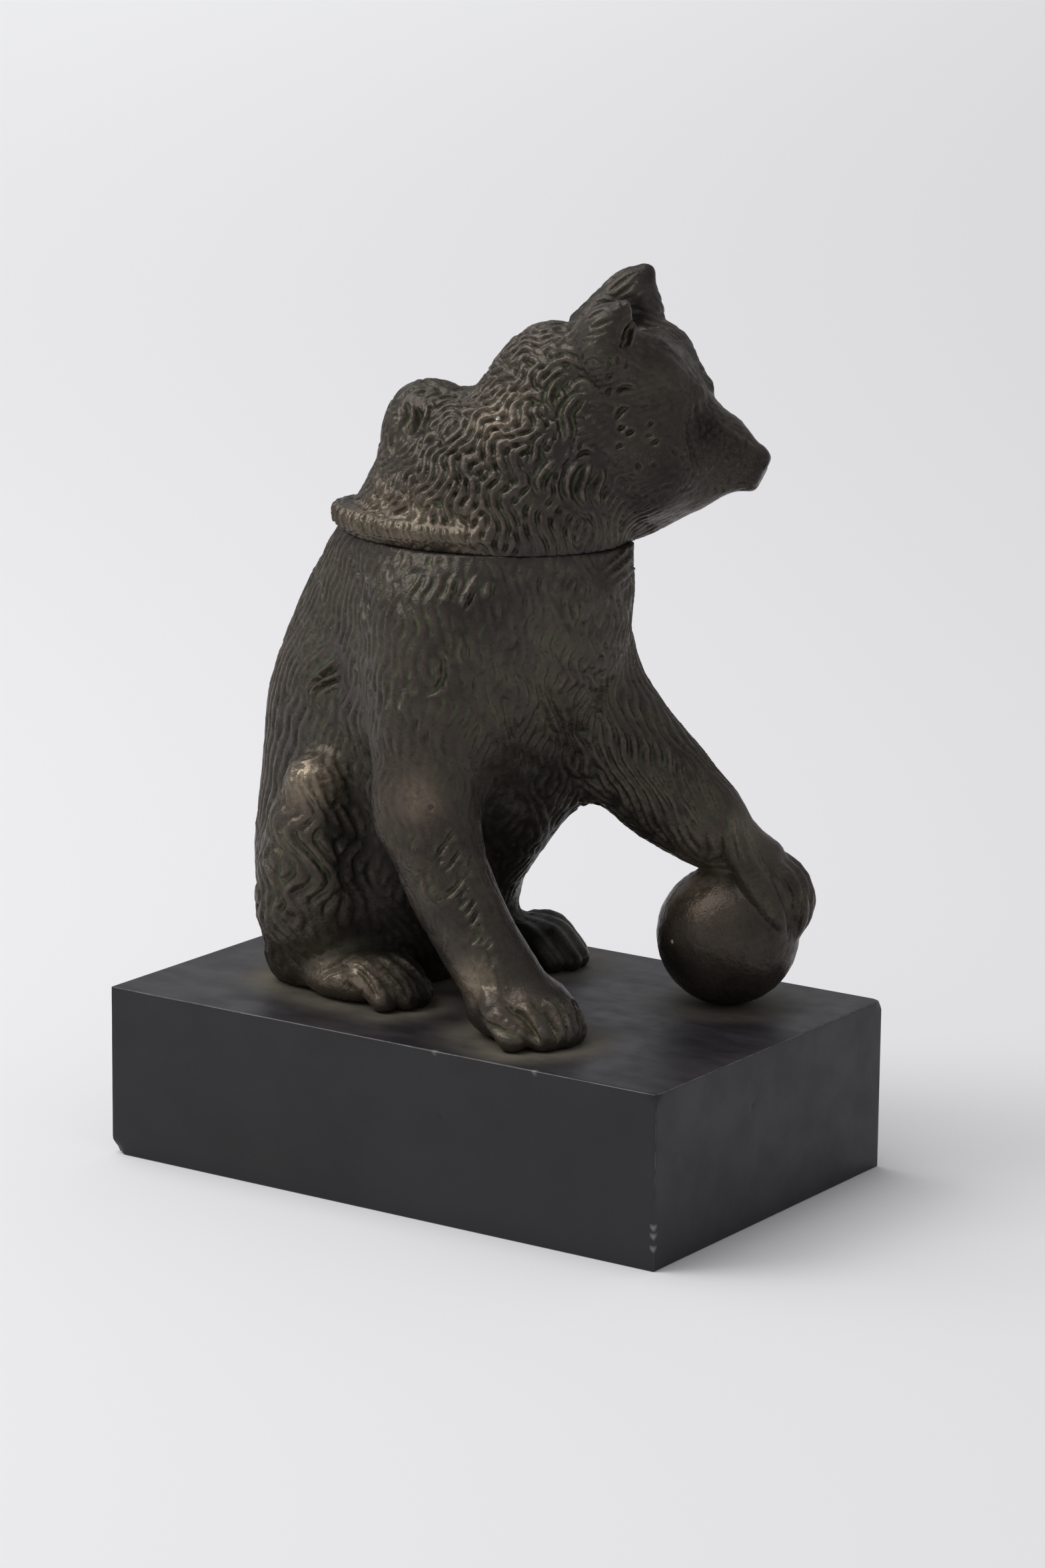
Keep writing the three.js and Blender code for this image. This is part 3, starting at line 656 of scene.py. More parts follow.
def neighbours(places, others, cell=7.0):
    """For each 7 mm cell that holds places: their numbers, and those of others in and round it."""
    home, away = np.floor(places / cell).astype(int), np.floor(others / cell).astype(int)
    low = home.min(0) - 1
    span = home.max(0) - low + 2
    weight = np.array([span[1] * span[2], span[2], 1])
    home, away = (home - low) @ weight, (away - low) @ weight
    order, by_away = np.argsort(home, kind="stable"), np.argsort(away, kind="stable")
    kinds, starts = np.unique(home[order], return_index=True)
    beyond = [np.dot((x, y, z), weight) for x in (-1, 0, 1) for y in (-1, 0, 1) for z in (-1, 0, 1)]
    for kind, some in zip(kinds, np.split(order, starts[1:])):
        near = np.concatenate([by_away[slice(*np.searchsorted(away[by_away], (kind + b, kind + b + 1)))]
                               for b in beyond])
        if len(near):
            yield some, near


def rippled(skin, guides, spacing, seed, joined, fine=1.0):
    """Long ripples laid on the skin as the coat is combed, -1 to 1.

    Each scattered root gives cos(pi * u / width + phase) with u the distance across its own
    direction, bowed by its bend and sway, faded by (1 - (along / length)^2)^2 exp(-(u / width)^2). The
    phases start by chance and are drawn, joined times over, to those that each root's neighbours
    bring to it, so that the ripples grow together into strands. The result is their mean.
    """
    rng = np.random.default_rng(seed)
    roots = scattered(skin, spacing, seed)
    _, habit = combed(guides, skin.points[roots])
    roots = roots[habit[:, 2] > 0.08]
    at, normal = skin.points[roots], skin.broad[roots]
    direction, habit = combed(guides, at)
    length, width, _, bend, sway = habit[:, :5].T
    length, width = np.clip(0.5 * length * fine**0.5, 1.5, 6.8), width * fine
    direction -= (direction * normal).sum(1)[:, None] * normal
    direction /= np.linalg.norm(direction, axis=1)[:, None] + 1e-9
    angle = sway * wavering(at) + rng.normal(0, 0.08, len(at))
    bow = (sway * (wavering(at + direction) - wavering(at)) + bend / (length + 2)) * 0.5
    side = np.cross(normal, direction)
    run = np.cos(angle)[:, None] * direction + np.sin(angle)[:, None] * side
    side = np.cross(normal, run)

    def reached(places, facing, near):
        v = places[:, None] - at[near]
        along = np.einsum("ijk,jk->ij", v, run[near])
        u = np.einsum("ijk,jk->ij", v, side[near]) - bow[near] * along**2
        fade = np.clip(1 - (along / length[near]) ** 2, 0, 1) ** 2 * np.exp(-(u / width[near]) ** 2)
        fade *= np.abs(np.einsum("ijk,jk->ij", v, normal[near])) < 5
        fade *= facing @ normal[near].T > 0.2
        return np.pi * u / width[near], fade

    to, by, turn = [], [], []
    for some, near in neighbours(at, at):
        shift, fade = reached(at[some], normal[some], near)
        i, j = np.nonzero(fade > 0.02)
        to.append(some[i])
        by.append(near[j])
        turn.append(fade[i, j] * np.exp(1j * shift[i, j]))
    to, by, turn = (np.concatenate(v) for v in (to, by, turn))
    phasor = np.exp(2j * np.pi * rng.uniform(0, 1, len(at)))
    for _ in range(joined):
        drawn_to = turn * phasor[by]
        total = np.bincount(to, drawn_to.real, len(at)) + 1j * np.bincount(to, drawn_to.imag, len(at))
        phasor = total / (np.abs(total) + 1e-9)
    phase = np.angle(phasor)
    wave, power = np.zeros((2, len(skin.points)))
    for some, near in neighbours(skin.points, at):
        shift, fade = reached(skin.points[some], skin.normals[some], near)
        wave[some] = (fade * np.cos(shift + phase[near])).sum(1)
        power[some] = fade.sum(1)
    return wave / (power + 0.05) * ramp(0.02, 0.3, power)


def coat(skin, guides, spacing, seed, joined, broken):
    """The coat: height * (0.4 - c (1 - n)^1.7 - 0.3 (1 - n) - 0.15 (1 - m)^1.5), with n and m the
    sizes of its ripples and of finer ones, held to 1. Grooves run where the ripples pass nought,
    between locks with full rounded backs. c comes and goes along them, the more often the more
    broken the coat is. It keeps clear of the strokes already carved, and runs lower by the seam."""
    stand = np.concatenate([combed(guides, some)[1] for some in np.array_split(skin.points, 40)])
    n = np.clip(1.25 * np.abs(rippled(skin, guides, spacing, seed, joined)), 0, 1)
    m = np.clip(1.25 * np.abs(rippled(skin, guides, spacing * 0.75, seed + 1, joined, 0.5)), 0, 1)
    wave = wavering(skin.points * (1.5 + broken) + seed)
    come = 0.25 + 0.75 * ramp(-0.9 + 0.4 * broken, 0.1 + 0.2 * broken, wave)
    free = (1 - skin.blurred(skin.taken, 3)) * ramp(-1.5, 3.5, np.abs(skin.points[:, 2] - SEAM_Z))
    skin.height += stand[:, 2] * stand[:, 5] * free * (
        0.4 - (0.9 + 0.1 * broken) * come * (1 - n) ** 1.7 - 0.3 * (1 - n) - 0.15 * (1 - m) ** 1.5)


def finished(skin):
    """The skin with its relief: points, and crease, how far each lies in a hollow, in millimetres."""
    height = skin.blurred(skin.height, 1)
    height -= 0.5 * skin.blurred(skin.height, 16)
    points = skin.points + skin.normals * height[:, None]
    crease = skin.blurred(height, 12) - height
    return points, crease


# The coat's guides
# place x, y, z; radius of its say; direction x, y, z; length, width, height, bend, sway, strength
BODY_GUIDES = [
    # spine and back: long fine strands down
    (-60, 4, 165, 18, -0.5, 0, -1, 18.7, 2.5, 1.58, 0.1, 0.21, 1),
    (-74, 4, 130, 18, -0.2, 0, -1, 22, 2.6, 1.78, 0.15, 0.21, 1),
    (-78, 4, 95, 18, 0, 0, -1, 22, 2.7, 1.78, 0.15, 0.21, 1),
    (-72, 4, 62, 14, 0.2, 0, -1, 15.4, 2.9, 1.6, 0.1, 0.35, 1),
    # near flank, behind the valley
    (-52, -24, 158, 13, -0.4, 0.1, -1, 17.6, 2.5, 1.47, 0.1, 0.24, 1),
    (-58, -24, 130, 13, -0.5, 0.1, -1, 17.6, 3.4, 1.99, -0.9, 0.06, 1),
    (-63, -22, 108, 14, -0.2, 0, -1, 17.6, 3.4, 1.89, -0.4, 0.18, 1),
    # far flank
    (-50, 32, 155, 14, -0.4, -0.1, -1, 17.6, 2.6, 1.58, -0.1, 0.24, 1),
    (-58, 32, 125, 16, -0.3, 0.1, -1, 17.6, 3.5, 1.99, 0.6, 0.12, 1),
    (-52, 36, 98, 15, -0.2, 0, -1, 16.5, 3.5, 1.89, 0.3, 0.18, 1),
    (-20, 34, 130, 18, 0, 0, -1, 13.2, 2.8, 1.3, 0.2, 0.5, 0.8),
    # valleys between flank and shoulder, shoulder and chest: low long strands
    (-34, -27, 150, 9, -0.1, 0, -1, 17, 3.0, 1.5, 0.1, 0.3, 1),
    (-32, -29, 120, 9, -0.1, 0, -1, 17, 3.0, 1.5, 0.1, 0.3, 0.9),
    (-10, -30, 160, 15, -0.15, 0, -1, 17, 3.2, 1.3, 0.1, 0.4, 0.8),
    (12, -24, 158, 14, -0.1, 0, -1, 17, 3.2, 1.3, 0.2, 0.4, 0.8),
    (-3, -38, 130, 14, -0.1, 0, -1, 17, 3.2, 1.1, 0.2, 0.4, 0.7),
    (24, -8, 150, 12, -0.1, 0.1, -1, 18, 2.5, 1.3, 0.1, 0.4, 1),
    (28, 8, 150, 12, 0.1, 0.1, -1, 18, 2.5, 1.7, 0.1, 0.4, 1),
    # belly and between the legs
    (-5, 0, 100, 16, 0.1, 0, -1, 11, 2.8, 0.5, 0.2, 0.6, 1),
    (-15, 8, 70, 16, 0.2, 0, -1, 11, 2.8, 0.5, 0.2, 0.6, 1),
    # near foreleg: faint strands below its marks
    (0, -38, 105, 12, 0.2, 0, -1, 13, 2.6, 0.7, 0.2, 0.4, 0.6),
    (10, -38, 88, 12, 0.4, 0, -1, 12, 2.4, 0.7, 0.2, 0.4, 0.6),
    (24, -36, 68, 12, 0.6, 0, -1, 10, 2.2, 0.6, 0.2, 0.4, 0.5),
    (30, -32, 56, 12, 0.8, 0, -1, 8, 2, 0, 0.2, 0.4, 0),
    # near shank and knee
    (-40, -38, 113, 6, 0, 0.2, -1, 8, 2.6, 0.5, 0.2, 0.5, 0.7),
    (-42, -42, 92, 10, -0.05, 0, -1, 11, 3.6, 1.9, 0.15, 0.75, 1),
    (-48, -42, 74, 12, 0, 0, -1, 11, 3.7, 2.1, 0.15, 0.8, 1),
    (-64, -28, 80, 12, -0.1, 0, -1, 14.3, 3.6, 1.9, 0.1, 0.6, 1),
    (-48, -38, 62, 7, 0.1, -0.1, -1, 8.8, 3.8, 1.8, 0.2, 0.6, 1),
    (-34, -36, 50, 11, 1, 0, -0.3, 8, 3, 0, 0.1, 0.3, 0),
    # far shank
    (-26, 48, 88, 14, 0, 0, -1, 12.1, 3.6, 1.8, 0.1, 0.7, 1),
    (-30, 48, 70, 12, 0, 0, -1, 12.1, 3.6, 1.8, 0.1, 0.7, 1),
    (-16, 30, 85, 12, 0.1, 0, -1, 11, 2.8, 0.5, 0.1, 0.6, 1),
    (-20, 46, 50, 11, 1, 0, -0.3, 8, 3, 0, 0.1, 0.3, 0),
    (-6, 44, 52, 12, 1, 0, -0.3, 8, 3, 0, 0.1, 0.3, 0),
    # lifted foreleg
    (20, 20, 128, 13, 0.5, 0.1, -1, 15, 2.4, 1.6, 0.2, 0.3, 1),
    (36, 16, 106, 12, 0.5, -0.1, -1, 14, 2.4, 1.6, -0.2, 0.3, 1),
    (36, 38, 106, 12, 0.9, 0.2, -0.8, 14, 2.4, 1.6, 0.2, 0.3, 1),
    (50, 26, 96, 8, 0.8, 0, -1, 12, 2.3, 1.3, 0.1, 0.3, 1),
    (64, 34, 90, 9, 1, 0.2, -0.8, 6, 2, 0, 0.1, 0.3, 0),
    (72, 40, 76, 12, 0.3, 0.1, -1, 6, 2, 0, 0.1, 0.3, 0),
    (56, 30, 60, 16, 0.3, 0.1, -1, 6, 2, 0, 0.1, 0.3, 0),
]
LID_GUIDES = [
    # neck behind: long strands
    (-46, 2, 186, 12, -0.4, 0, -1, 14.95, 2.44, 1.56, 0.1, 0.5, 1),
    (-32, -14, 192, 9, -0.6, -0.1, -1, 13.8, 2.44, 1.56, 0.1, 0.6, 1),
    (-32, 18, 192, 9, -0.6, 0.1, -1, 13.8, 2.44, 1.56, -0.1, 0.6, 1),
    (-36, 0, 203, 9, -1, 0, -0.8, 11.5, 2.55, 1.32, 0.3, 0.6, 1),
    (-16, -2, 214, 9, -1, 0, -0.1, 10.3, 2.55, 1.45, 0.3, 0.42, 1),
    # near side of the mane: short curls
    (-14, -20, 196, 9, -0.4, -0.1, -1, 8.3, 2.44, 1.56, 0.8, 0.59, 1),
    (0, -22, 196, 9, -0.1, 0, -1, 7.2, 3.2, 2.29, 1.1, 0.69, 1),
    (6, -16, 208, 9, -0.3, -0.1, -1, 7.2, 3.2, 2.42, -1, 0.78, 1),
    (0, 0, 224, 10, -1, -0.3, -0.3, 8.3, 3.2, 2.05, 0.8, 0.69, 1),
    (16, -10, 220, 9, -0.5, -0.2, -0.9, 7.2, 3.2, 2.29, 1, 0.69, 1),
    (20, -12, 200, 8, -0.2, -0.1, -1, 8.3, 3.3, 2.29, 0.9, 0.59, 1),
    (14, -20, 188, 9, 0, 0, -1, 8.3, 3.2, 2.05, 0.4, 0.49, 1),
    (30, -4, 188, 8, -0.1, 0, -1, 10.3, 2.55, 1.56, 0.1, 0.29, 1),
    # far side of the mane
    (-14, 28, 196, 11, -0.5, 0.2, -1, 8.3, 3.3, 1.93, -0.9, 0.42, 1),
    (0, 36, 196, 12, -0.2, 0.2, -1, 8.3, 3.4, 2.17, -1, 0.49, 1),
    (6, 36, 212, 12, -0.4, 0.3, -0.8, 8.3, 3.4, 2.17, 1, 0.49, 1),
    (22, 36, 192, 10, 0, 0.1, -1, 9.3, 3.4, 1.93, -0.4, 0.35, 1),
    # crown, between the ears, brow
    (-20, -8, 212, 6, -0.6, -0.5, -0.6, 12, 2.6, 0.5, 0.1, 0.3, 1),
    (14, 12, 234, 9, -1, -0.3, 0.2, 8.3, 2.55, 1.32, 0.5, 0.35, 1),
    # cheeks and face: faint short hair
    (42, 14, 212, 11, -1, -0.4, -0.4, 7, 1.8, 0.6, 0.2, 0.3, 0.8),
    (38, 2, 206, 8, -1, -0.4, -0.6, 7, 1.8, 0.6, 0.2, 0.3, 0.8),
    (50, 28, 205, 12, -1, -0.4, -0.4, 6, 2, 0, 0, 0, 0),
    (36, 40, 206, 11, -1, 0, -0.5, 7, 1.8, 0.6, 0.2, 0.3, 0.8),
    (36, 2, 222, 7, -1, -0.4, 0.2, 7, 1.8, 0.6, 0.2, 0.3, 0.8),
    (40, 20, 228, 9, -1, -0.4, 0.4, 7, 1.8, 0.6, 0.2, 0.3, 0.8),
    (26, 6, 240, 5, -0.7, -0.5, -0.8, 7, 2, 0.2, 0, 0, 0.5),
    (16, 34, 244, 6, -0.7, 0.3, -0.8, 7, 2, 0.2, 0, 0, 0.5),
]


# Strokes set one by one
# tool, width, height or depth, and the photograph's pixels that the stroke runs through
FACE_STROKES = [
    # pits on the cheek
    (cut, 1.6, 1.2, (907, 571), (914, 566), (921, 562)),
    (cut, 1.7, 1.3, (926, 592), (934, 583), (955, 582)),
    (cut, 1.8, 1.4, (923, 631), (934, 616), (945, 612)),
    (cut, 1.6, 1.2, (927, 647), (933, 642), (941, 638)),
    (cut, 1.7, 1.4, (936, 654), (944, 650), (953, 646)),
    (cut, 1.5, 1.1, (923, 673), (931, 669), (939, 667)),
    (cut, 1.7, 1.2, (864, 689), (876, 680), (895, 681)),
    (cut, 1.5, 1.1, (955, 694), (958, 700), (961, 707)),
    (cut, 1.3, 1.0, (978, 701), (982, 697), (988, 695)),
    (cut, 1.5, 1.1, (976, 670), (984, 664), (993, 658)),
    (cut, 1.2, 0.9, (1009, 671), (1012, 677), (1017, 683)),
    (cut, 1.2, 0.9, (972, 641), (977, 636), (983, 631)),
    (cut, 1.2, 0.8, (969, 656), (975, 652), (981, 648)),
    (cut, 1.1, 0.7, (961, 612), (968, 609), (978, 609)),
    (cut, 1.3, 0.9, (911, 596), (913, 589), (918, 582)),
    (cut, 1.2, 1.0, (913, 552), (914, 543), (915, 533)),
    (cut, 1.2, 1.0, (926, 547), (927, 539), (929, 531)),
    (cut, 1.3, 1.1, (938, 556), (940, 549), (943, 541)),
    (cut, 0.9, 0.6, (1030, 707), (1032, 703), (1035, 698)),
    (cut, 0.9, 0.7, (1039, 717), (1042, 711), (1046, 704)),
    (cut, 0.9, 0.6, (1020, 688), (1024, 683), (1027, 678)),
    (cut, 0.9, 0.4, (1000, 714), (1008, 712), (1016, 713)),
    (cut, 1.0, 0.6, (990, 735), (1000, 730), (1012, 728)),
    (cut, 1.0, 0.7, (955, 742), (966, 735), (980, 730)),
    (cut, 0.9, 0.6, (1014, 742), (1026, 736), (1040, 732)),
    # two slots in the near ear, its rim and the strands on its back
    (cut, 1.9, 2.0, (929, 522), (933, 508), (940, 492), (948, 478)),
    (cut, 1.7, 1.8, (940, 522), (943, 510), (947, 498), (951, 486)),
    (ridge, 1.6, 0.7, (949, 474), (951, 490), (950, 508), (946, 526)),
    (ridge, 2.6, 0.9, (862, 474), (885, 458), (915, 450), (940, 458), (958, 478)),
    (cut, 1.4, 0.8, (878, 484), (895, 470), (915, 464)),
    (cut, 1.4, 0.8, (885, 494), (903, 484), (922, 480)),
    (cut, 1.4, 0.7, (880, 506), (898, 499), (916, 496)),
    (cut, 1.3, 0.6, (868, 516), (886, 511), (905, 509)),
    # strands on the back of the far ear
    (cut, 1.3, 0.6, (905, 430), (925, 412), (948, 400)),
    (cut, 1.3, 0.6, (912, 440), (932, 422), (955, 408)),
    (cut, 1.3, 0.6, (920, 447), (938, 434), (955, 424)),
    # brow, eye and muzzle
    (ridge, 3.0, 0.5, (961, 508), (984, 524), (1010, 542), (1036, 570), (1050, 590)),
    (cut, 3.0, 0.3, (975, 536), (1000, 552), (1022, 574)),
    (ridge, 1.8, 0.5, (1037, 580), (1040, 600), (1038, 622), (1046, 642)),
    (cut, 1.8, 0.6, (1044, 596), (1047, 618), (1050, 642)),
    (cut, 1.2, 0.4, (1026, 618), (1034, 612), (1040, 611)),
    (cut, 1.0, 0.35, (1020, 638), (1028, 646), (1032, 658)),
    (cut, 1.0, 0.35, (1026, 634), (1034, 644), (1038, 658)),
    (cut, 1.0, 0.35, (1026, 668), (1030, 676), (1031, 686)),
    (cut, 1.0, 0.35, (1032, 666), (1036, 675), (1037, 686)),
    (cut, 1.0, 0.35, (1038, 664), (1041, 674), (1042, 685)),
    (cut, 1.3, 0.4, (1143, 727), (1122, 728), (1098, 729), (1076, 726), (1062, 718)),
    (ridge, 2.4, 0.4, (1068, 620), (1096, 646), (1124, 664), (1146, 682)),
]
MANE_STROKES = [
    # the large curls on the hump
    (cut, 2.6, 1.6, (626, 610), (630, 628), (622, 646), (612, 656)),
    (cut, 2.6, 1.5, (608, 602), (612, 622), (606, 648)),
    (cut, 2.2, 1.2, (590, 648), (587, 666), (592, 684)),
    (ridge, 2.2, 1.3, (636, 598), (641, 620), (634, 644), (618, 662)),
    (ridge, 2.0, 1.3, (617, 606), (621, 626), (614, 648)),
    (ridge, 2.0, 1.2, (598, 606), (600, 630), (594, 656)),
    (ridge, 2.0, 0.9, (640, 612), (648, 606), (652, 616)),
    # a ring of curls round the near cheek
    (ridge, 3.4, 2.4, (885, 590), (862, 600), (848, 622), (852, 650), (840, 672)),
    (ridge, 3.0, 2.2, (860, 560), (836, 574), (824, 596), (830, 616)),
    (ridge, 3.2, 2.4, (875, 690), (858, 706), (850, 730), (856, 756)),
    (ridge, 3.2, 2.4, (890, 690), (880, 712), (872, 738), (880, 762)),
    (ridge, 3.0, 2.0, (903, 694), (903, 716), (896, 740), (900, 764)),
    (ridge, 3.2, 2.2, (838, 690), (822, 700), (808, 720), (812, 744)),
    (ridge, 3.0, 2.0, (822, 650), (806, 664), (802, 684), (792, 700)),
]
CHEST_STROKES = [
    # the tuft's strands
    (ridge, 1.9, 0.9, (945, 812), (934, 830), (915, 850), (893, 868)),
    (ridge, 1.9, 0.9, (956, 815), (947, 835), (926, 858), (903, 878)),
    (ridge, 1.9, 0.9, (962, 826), (952, 848), (932, 870), (912, 886)),
    (ridge, 1.7, 0.8, (966, 838), (958, 858), (942, 876), (926, 890)),
    # grooves and ridges on the shoulder
    (ridge, 2.5, 1.3, (690, 858), (681, 868), (675, 884), (672, 907)),
    (ridge, 2.6, 1.3, (717, 858), (711, 874), (699, 893), (689, 918)),
    (cut, 1.8, 0.7, (686, 872), (681, 888), (678, 904)),
    (cut, 1.8, 0.7, (711, 884), (702, 900), (695, 920)),
    (ridge, 2.2, 0.9, (736, 868), (731, 884), (722, 900)),
    (cut, 1.7, 0.6, (742, 872), (738, 890), (730, 906)),
    (ridge, 2.5, 1.2, (604, 882), (591, 900), (582, 922), (577, 950)),
    (cut, 1.8, 0.9, (597, 893), (586, 915), (582, 944)),
    (cut, 1.7, 0.9, (540, 880), (542, 900), (544, 917), (552, 947)),
    (ridge, 2.1, 1.0, (553, 898), (553, 920), (556, 943)),
    (cut, 1.8, 0.9, (588, 852), (586, 862), (589, 874)),
    (cut, 1.8, 0.7, (668, 946), (670, 964), (672, 984)),
    (ridge, 2.3, 1.0, (687, 948), (691, 964), (688, 982), (696, 1004)),
    (cut, 2.5, 1.2, (654, 978), (664, 992), (666, 1010), (656, 1032), (634, 1047)),
    (cut, 1.4, 0.6, (616, 1003), (614, 1012), (611, 1024)),
    (cut, 2.5, 1.4, (557, 996), (552, 1012), (553, 1028), (561, 1044)),
    (cut, 2.1, 1.2, (580, 1019), (581, 1042), (579, 1068)),
    (cut, 2.0, 1.2, (596, 1030), (598, 1048), (599, 1068)),
    (cut, 1.4, 0.6, (565, 966), (562, 975), (559, 984)),
    (cut, 1.4, 0.6, (551, 962), (548, 972), (546, 980)),
    (cut, 1.8, 0.9, (627, 1072), (623, 1086), (625, 1101)),
    (cut, 1.8, 0.9, (643, 1092), (640, 1104), (638, 1118)),
    (cut, 1.4, 0.5, (704, 1026), (699, 1029), (692, 1034)),
    (cut, 1.8, 0.6, (786, 959), (768, 975), (761, 998)),
    (cut, 2.0, 0.9, (531, 982), (533, 996), (538, 1012)),
    (cut, 1.7, 0.6, (760, 900), (757, 920), (750, 944)),
    (cut, 1.7, 0.6, (790, 880), (789, 902), (783, 926)),
    (cut, 1.7, 0.6, (818, 900), (818, 924), (812, 950)),
    (cut, 1.7, 0.6, (842, 884), (845, 908), (842, 934)),
    (cut, 1.7, 0.6, (780, 946), (781, 966), (776, 988)),
    # long strands down the chest's far edge
    (ridge, 1.7, 0.9, (946, 900), (946, 930), (938, 962), (928, 996)),
    (ridge, 1.7, 0.9, (934, 904), (931, 932), (922, 962), (910, 992)),
    (ridge, 1.7, 0.9, (920, 906), (914, 936), (904, 964), (892, 990)),
    (ridge, 1.7, 0.8, (954, 920), (955, 950), (950, 984), (944, 1016)),
    (cut, 1.8, 0.7, (898, 900), (893, 926), (884, 954)),
    (cut, 1.8, 0.7, (874, 896), (872, 922), (864, 950)),
]
FLANK_STROKES = [
    (ridge, 2.0, 1.5, (483, 930), (479, 950), (462, 962), (446, 980)),
    (ridge, 2.0, 1.5, (497, 968), (481, 980), (461, 1000), (452, 1018), (458, 1038)),
    (ridge, 2.0, 1.6, (511, 972), (503, 990), (481, 1009), (465, 1027), (460, 1043), (468, 1058)),
    (ridge, 2.0, 1.6, (518, 996), (506, 1012), (484, 1023), (470, 1037), (467, 1051), (474, 1064)),
    (ridge, 2.0, 1.5, (514, 1026), (498, 1033), (484, 1041), (478, 1054), (484, 1068)),
    (cut, 2.0, 1.0, (492, 944), (487, 962), (470, 972), (452, 990)),
    (cut, 2.0, 1.0, (505, 976), (493, 988), (472, 1004), (457, 1022)),
    (cut, 2.0, 1.0, (514, 988), (500, 1004), (478, 1020), (466, 1036), (464, 1050)),
    (cut, 2.0, 1.0, (514, 1014), (496, 1024), (480, 1034), (473, 1048), (478, 1062)),
]
